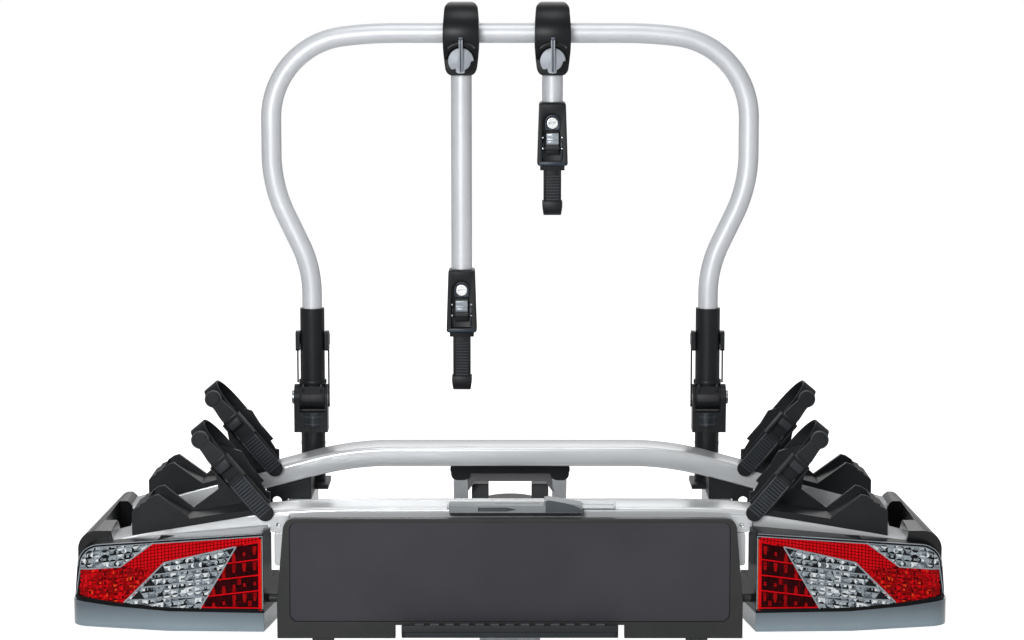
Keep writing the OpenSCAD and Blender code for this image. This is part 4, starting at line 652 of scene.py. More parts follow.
class Form:
    """A mesh under construction, with its lengths in millimetres."""

    def __init__(self) -> None:
        """Starts with an empty mesh."""
        self.bm = bmesh.new()

    def face(self, points: Sequence[Point3], finish: int = 0) -> None:
        """Adds one flat face.

        Args:
            points: Its corners in order.
            finish: The index of its finish.
        """
        made = self.bm.faces.new([self.bm.verts.new(p) for p in points])
        made.material_index = finish

    def skin(self, rows: Sequence[Sequence[Point3]], finish: int = 0) -> None:
        """Skins rows of points that each close on themselves, and closes both ends.

        Args:
            rows: The rows, all of one length.
            finish: The index of the finish.
        """
        made = [[self.bm.verts.new(p) for p in row] for row in rows]
        count = len(made[0])
        for low, high in zip(made, made[1:]):
            for i in range(count):
                j = (i + 1) % count
                quad = self.bm.faces.new((low[i], low[j], high[j], high[i]))
                quad.material_index = finish
        for row in (made[0][::-1], made[-1]):
            self.bm.faces.new(row).material_index = finish

    def prism(
        self, outline: Sequence[Point2], plane: Plane, start: float, end: float, finish: int = 0
    ) -> None:
        """Extrudes an outline.

        Args:
            outline: Its corners, in the plane's two axes.
            plane: The plane that it is drawn in.
            start: Where it starts along the third axis.
            end: Where it ends.
            finish: The index of the finish.
        """
        rows = [[plane.point(u, v, w) for u, v in outline] for w in (start, end)]
        self.skin(rows, finish=finish)

    def block(self, low: Point3, high: Point3, finish: int = 0) -> None:
        """Adds a straight block between two corners.

        Args:
            low: Its lowest corner.
            high: Its highest corner.
            finish: The index of the finish.
        """
        outline = [(low[0], low[1]), (high[0], low[1]), (high[0], high[1]), (low[0], high[1])]
        self.prism(outline, Plane.XY, low[2], high[2], finish)

    def turned(self, profile: Sequence[Point2], centre: Point3, axis: Plane, sides: int) -> None:
        """Turns a profile round an axis.

        Args:
            profile: Radius and place along the axis of each corner.
            centre: A point of the axis.
            axis: The plane that the axis stands on.
            sides: The faces round it.
        """
        rows = []
        for radius, along in profile:
            ring = []
            for i in range(sides):
                turn = math.tau * i / sides
                local = axis.point(radius * math.cos(turn), radius * math.sin(turn), along)
                ring.append(tuple(c + q for c, q in zip(centre, local)))
            rows.append(ring)
        self.skin(rows)

    def both_sides(self) -> None:
        """Adds the mirror image across the middle plane of the rack."""
        made = bmesh.ops.duplicate(self.bm, geom=whole(self.bm))["geom"]
        for vert in of_kind(made, bmesh.types.BMVert):
            vert.co.x = -vert.co.x
        bmesh.ops.reverse_faces(self.bm, faces=of_kind(made, bmesh.types.BMFace))

    def outwards(self) -> None:
        """Joins doubled points and turns the faces outwards."""
        bmesh.ops.remove_doubles(self.bm, verts=self.bm.verts, dist=FORM_WELD)
        bmesh.ops.recalc_face_normals(self.bm, faces=self.bm.faces)

    def piece(
        self, name: str, finishes: Sequence[Finish], width: float = 0.0, angle: float = 32.0
    ) -> bpy.types.Object:
        """Ends the work and gives the object.

        Args:
            name: The piece's name.
            finishes: Its finishes, by the index that the faces name.
            width: The rounding of its edges, or none.
            angle: The turn of an edge that is rounded and kept sharp.

        Returns:
            The piece, which rides on nothing yet.
        """
        mesh = baked(self.bm, name)
        mesh.transform(Matrix.Scale(MM, 4))
        made = link(name, mesh)
        for finish in finishes:
            mesh.materials.append(finish.material())
        if width:
            round_edges(made, width, angle=angle)
        smooth(made, angle)
        return made


def curve(centre: Point2, radii: Point2, turns: Iterable[float]) -> list[Point2]:
    """Draws an arc of a circle or of an oval.

    Args:
        centre: Its centre.
        radii: How far it reaches along the drawing's two axes.
        turns: The directions of its points in radians.

    Returns:
        Its points in order.
    """
    return [(centre[0] + radii[0] * math.cos(t), centre[1] + radii[1] * math.sin(t)) for t in turns]


def circle(centre: Point2, radius: float, sides: int) -> list[Point2]:
    """Draws a circle with that many sides."""
    return curve(centre, (radius, radius), [math.tau * i / sides for i in range(sides)])


def arc(centre: Point2, radius: float, turns: Iterable[float]) -> list[Point2]:
    """Draws an arc with points at these directions in degrees."""
    return curve(centre, (radius, radius), map(math.radians, turns))


def rounded(width: float, height: float, radius: float, steps: int) -> list[Point2]:
    """Draws a rectangle with round corners about the origin.

    Args:
        width: Its width.
        height: Its height.
        radius: The radius of its corners.
        steps: The faces round a corner.

    Returns:
        Its corners, anticlockwise.
    """
    points = []
    for turn, sx, sy in ((0, 1, 1), (90, -1, 1), (180, -1, -1), (270, 1, -1)):
        centre = (sx * (width / 2 - radius), sy * (height / 2 - radius))
        points += arc(centre, radius, [turn + 90 * i / steps for i in range(steps + 1)])
    return points


@dataclass(frozen=True)
class Run:
    """A straight stretch of a bent tube."""

    length: float


@dataclass(frozen=True)
class Bend:
    """A bend of a tube, to the left where the turn is positive."""

    radius: float
    turn: float


@dataclass(frozen=True)
class Station:
    """A point of a route with the route's heading there, in radians."""

    x: float
    z: float
    heading: float


def route(
    x: float, z: float, heading: float, moves: Sequence[Run | Bend], step: float
) -> list[Station]:
    """Follows the runs and bends of a tube in an upright plane.

    Args:
        x: Where it starts.
        z: Its height there.
        heading: Its heading there in degrees, from X towards Z.
        moves: Its runs and bends in order.
        step: The turn of one facet of a bend in degrees.

    Returns:
        The stations along it.
    """
    way = math.radians(heading)
    stations = [Station(x, z, way)]
    for move in moves:
        if isinstance(move, Run):
            x, z = x + move.length * math.cos(way), z + move.length * math.sin(way)
            stations.append(Station(x, z, way))
            continue
        count = max(2, round(abs(move.turn) / step))
        side = math.copysign(1, move.turn)
        cx = x - side * move.radius * math.sin(way)
        cz = z + side * move.radius * math.cos(way)
        for i in range(1, count + 1):
            turned = way + math.radians(move.turn) * i / count
            x = cx + side * move.radius * math.sin(turned)
            z = cz - side * move.radius * math.cos(turned)
            stations.append(Station(x, z, turned))
        way += math.radians(move.turn)
    return stations


class Tree:
    """A Geometry Nodes tree under construction, with named inputs."""

    def __init__(self, name: str) -> None:
        """Starts a tree that takes and gives geometry.

        Args:
            name: The tree's name.
        """
        self.group = bpy.data.node_groups.new(name, "GeometryNodeTree")
        for way in ("INPUT", "OUTPUT"):
            self.group.interface.new_socket(
                "Geometry", in_out=way, socket_type="NodeSocketGeometry"
            )
        self.given = self.add("NodeGroupInput")
        self.result = self.add("NodeGroupOutput")

    def add(self, kind: str) -> bpy.types.Node:
        """Adds a node of that type."""
        return self.group.nodes.new(kind)

    def take(self, name: str, kind: str = "Float") -> bpy.types.NodeSocket:
        """Adds a named input and returns its socket inside the tree."""
        self.group.interface.new_socket(name, in_out="INPUT", socket_type=f"NodeSocket{kind}")
        return self.given.outputs[name]

    def join(self, source: bpy.types.NodeSocket, target: bpy.types.NodeSocket) -> None:
        """Links two sockets."""
        self.group.links.new(source, target)

    def finish(self, geometry: bpy.types.NodeSocket) -> bpy.types.NodeTree:
        """Ends the tree in real geometry with a material.

        Args:
            geometry: What the tree has made.

        Returns:
            The finished tree.
        """
        real = self.add("GeometryNodeRealizeInstances")
        coat = self.add("GeometryNodeSetMaterial")
        self.join(geometry, real.inputs["Geometry"])
        self.join(real.outputs["Geometry"], coat.inputs["Geometry"])
        self.join(self.take("Material", "Material"), coat.inputs["Material"])
        self.join(coat.outputs["Geometry"], self.result.inputs["Geometry"])
        return self.group


def grow(piece: bpy.types.Object, tree: bpy.types.NodeTree, values: dict[str, object]) -> None:
    """Runs a Geometry Nodes tree on a piece and keeps the result as its mesh.

    Args:
        piece: The piece whose mesh the tree starts from.
        tree: The tree.
        values: The values of its inputs, by name.
    """
    modifier = piece.modifiers.new(tree.name, "NODES")
    modifier.node_group = tree
    for item in tree.interface.items_tree:
        if item.item_type == "SOCKET" and item.in_out == "INPUT" and item.name in values:
            modifier[item.identifier] = values[item.name]
    settle(piece)


def tube_tree() -> bpy.types.NodeTree:
    """Builds the tree that lays a round tube along a line of edges."""
    found = group_named("tube_along_path")
    if found:
        return found
    tree = Tree("tube_along_path")
    radius, sides = tree.take("Radius"), tree.take("Sides", "Int")
    line = tree.add("GeometryNodeMeshToCurve")
    ring = tree.add("GeometryNodeCurvePrimitiveCircle")
    skin = tree.add("GeometryNodeCurveToMesh")
    skin.inputs["Fill Caps"].default_value = True
    tree.join(tree.given.outputs["Geometry"], line.inputs["Mesh"])
    tree.join(radius, ring.inputs["Radius"])
    tree.join(sides, ring.inputs["Resolution"])
    tree.join(line.outputs["Curve"], skin.inputs["Curve"])
    tree.join(ring.outputs["Curve"], skin.inputs["Profile Curve"])
    return tree.finish(skin.outputs["Mesh"])


def tube(
    name: str, path: Sequence[Point3], radius: float, finish: Finish, sides: int
) -> bpy.types.Object:
    """Makes a round tube or wire along a path.

    Args:
        name: The piece's name.
        path: The points of its middle line in millimetres.
        radius: Its radius in millimetres.
        finish: Its finish.
        sides: The faces round it.

    Returns:
        The piece, which rides on nothing yet.
    """
    mesh = bpy.data.meshes.new(name)
    points = [tuple(c * MM for c in point) for point in path]
    mesh.from_pydata(points, [(i, i + 1) for i in range(len(points) - 1)], [])
    made = link(name, mesh)
    grow(made, tube_tree(), {"Radius": radius * MM, "Sides": sides, "Material": finish.material()})
    turn_outwards(made)
    smooth(made, 40)
    return made


def turn_outwards(piece: bpy.types.Object) -> None:
    """Joins a closed piece's doubled points and turns its faces outwards."""
    bm = bmesh.new()
    bm.from_mesh(piece.data)
    bmesh.ops.remove_doubles(bm, verts=bm.verts, dist=PIECE_WELD)
    bmesh.ops.recalc_face_normals(bm, faces=bm.faces)
    bm.to_mesh(piece.data)
    bm.free()


def merge(name: str, parts: Sequence[bpy.types.Object]) -> bpy.types.Object:
    """Makes one piece of several that move together.

    Args:
        name: The name of the whole.
        parts: The pieces, which are used up.

    Returns:
        The whole, with the finishes of its parts.
    """
    first, chosen = parts[0], list(parts)
    with bpy.context.temp_override(
        active_object=first, selected_editable_objects=chosen, selected_objects=chosen
    ):
        bpy.ops.object.join()
    first.name = name
    first.data.name = name
    return first


def fit(piece: bpy.types.Object, body: str, finish: Finish, *nodes: str) -> None:
    """Puts a piece on its body and in place of its nodes.

    Args:
        piece: The finished piece.
        body: The body that it rides on.
        finish: The piece's main finish; not used.
        nodes: The CAD nodes that it stands for.
    """
    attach(piece, body)
    if nodes:
        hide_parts(*nodes)
    LOG.info("%s: %d faces", piece.name, len(piece.data.polygons))


@dataclass
class Machining:
    """Gives the rack's cast, bent and moulded parts their rounded edges.

    Each part keeps the form of its node, and gets the edge radius of the way it is made. The
    lever's web also gets its dark front.
    """

    nodes: dict[str, bpy.types.Object]
    bodies: dict[str, str]
    widths: dict[str, float] = field(
        default_factory=lambda: {
            "coupling_housing": 1.6,
            "clamp_jaw": 1.2,
            "lever_grip": 2.0,
            "lever_frame": 1.5,
            "base_frame": 1.0,
            "side_covers": 1.2,
            "coupling_pins": 0.8,
            "latch_guide": 0.5,
            "plate_latch": 0.6,
            "plate_panel": 0.4,
            "lamp_lenses": 0.6,
        }
    )
    usual: float = 0.8
    web_reach: float = 49.0
    web_foot: float = 58.0

    def darken_web(self, lever: bpy.types.Object) -> None:
        """Gives the front of the lever's web the finish of its insert.

        Args:
            lever: The lever's piece.
        """
        lever.data.materials.append(LEVER_INSERT.material())
        for face in lever.data.polygons:
            middle = face.center / MM
            if face.normal.y < -0.9 and abs(middle.x) < self.web_reach and middle.z > self.web_foot:
                face.material_index = 1

    def round(self, name: str) -> None:
        """Makes the rounded piece that stands for a node and rides on its body.

        Args:
            name: The node's name.
        """
        finish = finish_of(name)
        piece = welded_copy(self.nodes[name], f"{name}_made")
        round_edges(piece, self.widths.get(name, self.usual))
        smooth(piece)
        even_shading(piece)
        paint(piece, finish)
        if name == "lever_frame":
            self.darken_web(piece)
        fit(piece, self.bodies[name], finish, name)

    def build(self, skip: set[str]) -> None:
        """Rounds every node but those that a piece of their own stands for.

        Args:
            skip: The nodes to leave.
        """
        for name in self.nodes:
            if name not in skip:
                self.round(name)


# Tubes and rails


@dataclass
class UBar:
    """The folding U-bar, one bent round tube."""

    plane_y: float = -90.0
    radius: float = 12.75
    leg_x: float = 254.5
    foot_z: float = 209.75
    lower_bend_z: float = 318.0
    lower_bend: Bend = Bend(151.0, -25.5)
    slope: Run = Run(41.0)
    upper_bend: Bend = Bend(182.0, 25.5)
    upright: Run = Run(45.14)
    corner: Bend = Bend(105.0, 82.6)
    shoulder: Bend = Bend(525.0, 7.4)

    def build(self) -> None:
        """Makes the tube and fits it to its body."""
        moves = [Run(self.lower_bend_z - self.foot_z), self.lower_bend, self.slope, self.upper_bend]
        moves += [self.upright, self.corner, self.shoulder]
        half = route(self.leg_x, self.foot_z, 90, moves, step=1.5)
        right = [(p.x, self.plane_y, p.z) for p in half]
        left = [(-x, y, z) for x, y, z in reversed(right)]
        bar = tube("u_bar_tube", right + left, self.radius, SATIN_TUBE, sides=56)
        fit(bar, "u_bar", SATIN_TUBE, "u_bar")


@dataclass
class WheelRail:
    """A wheel rail, one extruded box profile with a bow.

    The plug says where the plug in each end starts and stops, outwards from that end.
    """

    name: str
    middle_y: float
    middle_z: float
    flat: float
    bend: Bend
    slope: float = 0.0
    width: float = 60.0
    height: float = 25.0
    edge: float = 5.0
    wall: float = 2.0
    plug: Point2 = (-0.5, 1.2)

    def half(self) -> list[Station]:
        """Follows the rail's middle line from the middle of the rack outwards."""
        moves: list[Run | Bend] = [Run(self.flat), self.bend]
        if self.slope:
            moves.append(Run(self.slope))
        return route(0, self.middle_z, 0, moves, step=0.5)

    def section(self, at: Station, outline: Sequence[Point2], mirror: float) -> list[Point3]:
        """Places the profile at a station of the rail.

        Args:
            at: The station.
            outline: The profile, across and up.
            mirror: -1 on the left of the rack, else 1.

        Returns:
            The profile's points.
        """
        c, n = math.cos(at.heading), math.sin(at.heading)
        return [(mirror * (at.x - v * n), self.middle_y + u, at.z + v * c) for u, v in outline]

    def build(self) -> None:
        """Makes the rail with its end plugs and fits it to its body."""
        form = Form()
        outline = rounded(self.width, self.height, self.edge, 8)
        right = self.half()
        rows = [self.section(at, outline, -1) for at in reversed(right)]
        rows += [self.section(at, outline, 1) for at in right[1:]]
        form.skin(rows)
        inner = rounded(
            self.width - 2 * self.wall, self.height - 2 * self.wall, self.edge - self.wall, 6
        )
        end = right[-1]
        for mirror in (-1, 1):
            ends = []
            for out in self.plug:
                x = end.x + out * math.cos(end.heading)
                z = end.z + out * math.sin(end.heading)
                ends.append(self.section(Station(x, z, end.heading), inner, mirror))
            form.skin(ends, finish=1)
        form.outwards()
        piece = form.piece(f"{self.name}_profile", [RAIL_SATIN, BLACK_MOULDED])
        fit(piece, "platform", RAIL_SATIN, self.name)


def front_top(x: float) -> float:
    """Returns the height of the front rail's top at a distance from the middle."""
    crest, radius, flat = 98, 1130, 185
    return crest - radius + math.sqrt(radius**2 - max(0.0, x - flat) ** 2)


def rear_top(x: float) -> float:
    """Returns the height of the rear rail's top on its straight slope."""
    crest, drop, bend_end, slope = 135, 13.29, 250.94, 15
    return crest - drop - (x - bend_end) * math.tan(math.radians(slope))


# Lamps


@dataclass(frozen=True)
class Zone:
    """A zone of a lamp's lens: a convex outline, outwards from the lamp's inner edge and up."""

    outline: tuple[Point2, ...]


@dataclass(frozen=True)
class Prisms:
    """The small prisms of a field.

    The pitch is their spacing outwards and up, share the part of it that a prism fills, top the
    width of its top as a share of its foot, rise how far it stands out and lift where its foot
    stands before the back of the optics.
    """

    pitch: Point2
    share: float
    top: float
    rise: float
    lift: float


@dataclass(frozen=True)
class Facets:
    """How the facets of a field share their finishes, by the index of the finish.

    The chances are the share of each; the next field says how much likelier each is on facets
    that face up, which paints light from above onto the facets as highlight and shade; and seed
    the start of the repeatable choice.
    """

    chances: tuple[float, ...]
    painted_light_from_above: tuple[float, ...]
    seed: int


def clip(bm: bmesh.types.BMesh, outline: Sequence[Point2]) -> None:
    """Cuts a mesh down to a convex outline in its XY plane.

    Args:
        bm: The mesh.
        outline: The outline's corners, anticlockwise.
    """
    for (x0, y0), (x1, y1) in zip(outline, [*outline[1:], outline[0]]):
        bmesh.ops.bisect_plane(
            bm,
            geom=whole(bm),
            plane_co=(x0, y0, 0),
            plane_no=(y1 - y0, x0 - x1, 0),
            clear_outer=True,
        )


def cell_tree() -> bpy.types.NodeTree:
    """Builds the tree that fills a field with small four-sided prisms."""
    found = group_named("prism_field")
    if found:
        return found
    tree = Tree("prism_field")
    width, height = tree.take("Width"), tree.take("Height")
    columns, rows = tree.take("Columns", "Int"), tree.take("Rows", "Int")
    base, top, rise = tree.take("Base"), tree.take("Top"), tree.take("Rise")
    field_grid = tree.add("GeometryNodeMeshGrid")
    cone = tree.add("GeometryNodeMeshCone")
    cone.inputs["Vertices"].default_value = 4
    place = tree.add("GeometryNodeInstanceOnPoints")
    place.inputs["Rotation"].default_value = (0, 0, math.radians(45))
    tree.join(width, field_grid.inputs["Size X"])
    tree.join(height, field_grid.inputs["Size Y"])
    tree.join(columns, field_grid.inputs["Vertices X"])
    tree.join(rows, field_grid.inputs["Vertices Y"])
    tree.join(base, cone.inputs["Radius Bottom"])
    tree.join(top, cone.inputs["Radius Top"])
    tree.join(rise, cone.inputs["Depth"])
    tree.join(field_grid.outputs["Mesh"], place.inputs["Points"])
    tree.join(cone.outputs["Mesh"], place.inputs["Instance"])
    return tree.finish(place.outputs["Instances"])


@dataclass
class LampOptics:
    """The coloured lens zones of both tail lamps, with their cells, lights and bright dividers."""

    inner_x: float = 291.0
    front_y: float = -430.9
    sweep: float = 28.0
    length: float = 232.0
    corner_x: float = 501.0
    corner_r: float = 22.0
    inset: float = 4.4
    inner: float = 1.2
    top_z: float = 76.0
    round_s: float = 196.0
    round_z: float = 29.0
    round_r: float = 29.0
    round_turn: float = 84.7
    seam: tuple[Point2, ...] = ((0, -20.1), (113.7, -21.7), (174, -17.5), (232, -9.9))
    band: Zone = Zone(((91.6, 90), (-10, 90), (-10, 69.3), (118.9, 37.2), (171.9, 31)))
    band_foot: Zone = Zone(((118.9, 37.2), (129.6, 27.3), (171.9, 31)))
    low: Zone = Zone(((240, 24.8), (171.9, 31), (129.6, 27.3), (185.8, -30), (240, -30)))
    dark: Zone = Zone(((32.5, 58.7), (-10, 67.6), (-10, -30), (83.4, -30)))
    clear_strip: Zone = Zone(((91.6, 90), (171.9, 31), (240, 24.8), (240, 90)))
    slant: Zone = Zone(((118.9, 37.2), (32.5, 58.7), (83.4, -30), (185.8, -30)))
    shades: tuple[tuple[Point2, Point2, Point2], ...] = (
        ((131.0, 23.4), (120.5, 34.2), (117.0, 25.2)),
        ((145.4, 7.6), (135.6, 17.6), (130.0, 10.0)),
        ((160.0, -8.0), (149.6, 2.4), (143.0, -6.8)),
        ((33.5, 58.4), (39.6, 48.6), (45.0, 55.2)),
        ((104.0, 71.0), (126.0, 64.4), (122.0, 70.6)),
    )
    middle: Point2 = (116.0, 26.0)
    ground: Point2 = (130.0, 70.0)
    field_size: Point2 = (260.0, 150.0)
    reflex: Prisms = Prisms((4.2, 3.8), 0.86, 0.86, 0.5, 1.15)
    blocks: Prisms = Prisms((6.2, 5.2), 0.94, 0.45, 0.9, 1.35)
    ladder: Prisms = Prisms((6.2, 9.3), 0.8, 0.9, 0.5, 1.15)
    studs: Prisms = Prisms((12.4, 18.7), 0.25, 0.9, 1.0, 1.4)
    bowls: Prisms = Prisms((9.3, 7.2), 0.96, 0.35, 1.6, 1.0)
    glints: Prisms = Prisms((4.65, 7.2), 0.34, 0.5, 0.8, 1.9)
    block_facets: Facets = Facets((22, 34, 10, 32, 3), (1.5, 0.8, 0.5, 1.0, 1.5), seed=5)
    ladder_facets: Facets = Facets((0, 16, 76, 8, 0), (1.0, 1.0, 1.0, 1.0, 1.0), seed=3)
    bowl_facets: Facets = Facets((34, 26, 16, 24), (1.8, 1.0, 2.4, 0.4), seed=11)
    glint_facets: Facets = Facets((24, 26, 34, 16), (1.4, 1.0, 1.8, 0.6), seed=21)
    shade_rise: float = 2.75
    row_lean: float = -0.16
    back: float = 2.6

    def outline(self, inset: float) -> list[Point2]:
        """Draws the edge of the lens, anticlockwise.

        Args:
            inset: How far it lies inside the lamp's edge.

        Returns:
            The corners of the edge.
        """
        r = self.round_r - inset
        points = [(s, z + inset) for s, z in self.seam]
        points[0] = (self.inner, points[0][1])
        points[-1] = (self.length - inset - 0.6, points[-1][1] - 0.1)
        points += arc(
            (self.round_s, self.round_z), r, [self.round_turn * i / 12 for i in range(13)]
        )
        points.append((self.inner, self.top_z - inset))
        return points

    def wrap(self, s: float, z: float, depth: float) -> Point3:
        """Places a point of the flat drawing on the swept face of the right lamp.

        Args:
            s: How far out it lies from the lamp's inner edge.
            z: Its height.
            depth: How far it lies behind the lens's face.

        Returns:
            The point in the frame of the part.
        """
        x = self.inner_x + s
        tilt = math.atan(self.sweep / self.length)
        tangent = self.corner_x + self.corner_r * math.sin(tilt)
        if x <= tangent:
            n = (math.sin(tilt), -math.cos(tilt))
            y = self.front_y + s * math.tan(tilt)
        else:
            across = min((x - self.corner_x) / self.corner_r, 0.999)
            n = (across, -math.sqrt(1 - across * across))
            y = self.front_y + self.sweep + self.corner_r + self.corner_r * n[1]
        return (x - n[0] * depth, y - n[1] * depth, z)

    def panel(self, zone: Zone, rise: float) -> bmesh.types.BMesh:
        """Lays the plain ground of a zone.

        Args:
            zone: The zone.
            rise: How far it stands before the back of the optics.

        Returns:
            The ground as a flat mesh.
        """
        bm = bmesh.new()
        bmesh.ops.create_grid(bm, x_segments=60, y_segments=3, size=1)
        (s, z), (half_s, half_z) = self.middle, self.ground
        for vert in bm.verts:
            vert.co = Vector((s + vert.co.x * half_s, z + vert.co.y * half_z, rise))
        clip(bm, zone.outline)
        clip(bm, self.outline(self.inset))
        return bm

    def cells(self, zone: Zone, prisms: Prisms) -> bmesh.types.BMesh:
        """Fills a zone with rows of four-sided prisms.

        Args:
            zone: The zone.
            prisms: Their spacing and form.

        Returns:
            The prisms as a flat mesh.
        """
        across, up = prisms.pitch
        columns, rows = int(self.field_size[0] / across), int(self.field_size[1] / up)
        seed = link("prisms", bpy.data.meshes.new("prisms"))
        foot = prisms.share * across / math.sqrt(2)
        values = {
            "Width": (columns - 1) * across,
            "Height": (rows - 1) * across,
            "Columns": columns,
            "Rows": rows,
            "Base": foot,
            "Top": foot * prisms.top,
            "Rise": prisms.rise,
            "Material": LENS_RED.material(),
        }
        grow(seed, cell_tree(), values)
        bm = bmesh.new()
        bm.from_mesh(seed.data)
        bpy.data.meshes.remove(seed.data)
        middle_s, middle_z = self.middle
        for vert in bm.verts:
            s = vert.co.x + middle_s
            z = vert.co.y * up / across + middle_z + self.row_lean * (s - middle_s)
            vert.co = Vector((s, z, vert.co.z + prisms.lift))
        clip(bm, zone.outline)
        clip(bm, self.outline(self.inset))
        return bm

    def strip(
        self, form: Form, line: Sequence[Point2], width: float, rise: float, finish: int
    ) -> None:
        """Adds a thin raised strip along a line of the flat drawing.

        Args:
            form: The mesh that it goes into.
            line: Its corners.
            width: Its width.
            rise: How far it stands before the back of the optics.
            finish: The index of its finish.
        """
        for (x0, y0), (x1, y1) in zip(line, line[1:]):
            length = math.hypot(x1 - x0, y1 - y0)
            px, py = -(y1 - y0) / length * width / 2, (x1 - x0) / length * width / 2
            low = rise - 0.3
            corners = ((1, 0), (1, low), (0.6, rise), (-0.6, rise), (-1, low), (-1, 0))
            count = max(1, int(length / 5))
            rows = []
            for i in range(count + 1):
                t = i / count
                x, y = x0 + (x1 - x0) * t, y0 + (y1 - y0) * t
                rows.append([self.wrap(x + k * px, y + k * py, self.back - d) for k, d in corners])
            form.skin(rows, finish=finish)

    def add(self, form: Form, bm: bmesh.types.BMesh, finish: int | None = None) -> None:
        """Wraps a flat mesh, whose third axis is the rise towards the viewer, round the lamp.

        Args:
            form: The form that it goes into.
            bm: The flat mesh, which is used up.
            finish: The index of its finish, or None where its faces have theirs.
        """
        for vert in bm.verts:
            vert.co = Vector(self.wrap(vert.co.x, vert.co.y, self.back - vert.co.z))
        bmesh.ops.reverse_faces(bm, faces=bm.faces)
        if finish is not None:
            for face in bm.faces:
                face.material_index = finish
        mesh = baked(bm, "part")
        form.bm.from_mesh(mesh)
        bpy.data.meshes.remove(mesh)

    def glitter(self, bm: bmesh.types.BMesh, facets: Facets, shift: int = 0) -> bmesh.types.BMesh:
        """Gives the facets of a field finishes that paint the light caught at many angles; where
        the field asks, highlights lean to facets that face up and shade to those that face down.

        Args:
            bm: The field.
            facets: The share of each finish.
            shift: What is added to the start of the repeatable choice.

        Returns:
            The field.
        """
        choice = random.Random(facets.seed + shift)
        for face in bm.faces:
            face.normal_update()
            # Facets that face up lean to the lighter finishes and those that face down to the
            # darker ones: painted light from above.
            up = face.normal.y * 2
            weights = [c * t**up for c, t in zip(facets.chances, facets.painted_light_from_above)]
            face.material_index = choice.choices(range(len(weights)), weights)[0]
        return bm

    def reds(self) -> None:
        """Makes the red zones: the reflex band, the low block and the dark block."""
        form = Form()
        bright, _, smoke, blood, glow = range(5)
        for zone, ground in (
            (self.band, smoke), (self.band_foot, smoke), (self.low, blood), (self.dark, smoke)
        ):
            self.add(form, self.panel(zone, rise=0.9), ground)
        for zone in (self.band, self.band_foot):
            self.add(form, self.cells(zone, self.reflex), bright)
        # The low block's facets paint glints and shade: bright red and orange lean to facets that
        # face up.
        self.add(form, self.glitter(self.cells(self.low, self.blocks), self.block_facets))
        self.add(form, self.glitter(self.cells(self.dark, self.ladder), self.ladder_facets))
        self.add(form, self.cells(self.dark, self.studs), blood)
        # An orange line along the inner edge: a painted glint.
        self.strip(form, [(2.7, 69.0), (2.7, -17.5)], width=1.0, rise=2.7, finish=glow)
        self.strip(form, [(4.8, 68.5), (4.8, -17.5)], width=3.2, rise=2.4, finish=bright)
        form.both_sides()
        piece = form.piece(
            "lamp_red_zones", [LENS_RED, LENS_DEEP, LENS_SMOKE, LENS_BLOOD, LENS_GLOW]
        )
        fit(piece, "platform", LENS_RED, "lamp_lenses")

    def clears(self) -> None:
        """Makes the clear zones: faceted bowls with painted glints and painted shade."""
        form = Form()
        dark = 3
        for i, zone in enumerate((self.clear_strip, self.slant)):
            self.add(form, self.panel(zone, rise=0.6), dark)
            self.add(form, self.glitter(self.cells(zone, self.bowls), self.bowl_facets, i))
            self.add(form, self.glitter(self.cells(zone, self.glints), self.glint_facets, i))
        # Small near-black triangles that paint shade at the ends of the rows.
        for corner, up, along in self.shades:
            depth = self.back - self.shade_rise
            form.face([self.wrap(u, w, depth) for u, w in (corner, along, up)], dark)
        form.both_sides()
        piece = form.piece("lamp_clear_zones", [REFLECTOR, LENS_SHADE, LENS_PAINTED_GLINT, LENS_PAINTED_SHADE])
        fit(piece, "platform", REFLECTOR, "lamp_reflectors")

    def dividers(self) -> None:
        """Makes the silver, red and black lines between the zones and round the lens.

        The silver line near the housing's top and outer edge is a painted highlight.
        """
        form = Form()
        edge, rim = self.outline(self.inset - 0.5), self.outline(0.8)
        silver, red, black = range(3)
        between = [
            [(131.9, 60.9), (171.9, 31), (221, 26.4)],
            [(168, -12.2), (118.9, 37.2), (32.5, 58.7), (76.6, -17)],
            [(131.6, 22.4), (52.9, 34.7)],
            [(146.3, 6.5), (60.7, 17.5)],
            [(161.1, -9.4), (71.5, -2.1)],
        ]
        within = [
            [(44.2, 38.2), (5.2, 44.4)], [(55.9, 18.1), (5.2, 25.6)], [(66.8, -1.9), (5.2, 6.9)]
        ]
        ends = [[(24, 61), (5.2, 65)], [(75.0, -15.6), (5.2, -14.4)]]
        fine = [[(138, 14.1), (224, 3.4)], [(154, -2.4), (214, -7.6)]]
        for lines, width, rise, finish in (
            (between, 1.7, 2.9, silver),
            (within, 1.5, 2.7, red),
            (ends, 1.5, 2.6, red),
            (fine, 0.8, 2.2, red),
            ([edge + edge[:1]], 1.1, 2.7, silver),
            ([edge[:4]], 1.6, 2.8, black),
            # A silver line near the housing's top and outer edge: a painted highlight on the gloss
            # black.
            ([rim[4:]], 0.9, 2.9, silver),
        ):
            for line in lines:
                self.strip(form, line, width, rise, finish)
        form.both_sides()
        form.outwards()
        piece = form.piece("lamp_dividers", [PAD_SILVER, LENS_RED, HOUSING_BLACK])
        fit(piece, "platform", REFLECTOR)

    def build(self) -> None:
        """Makes the optics of both lamps."""
        self.reds()
        self.clears()
        self.dividers()


# Frame holders


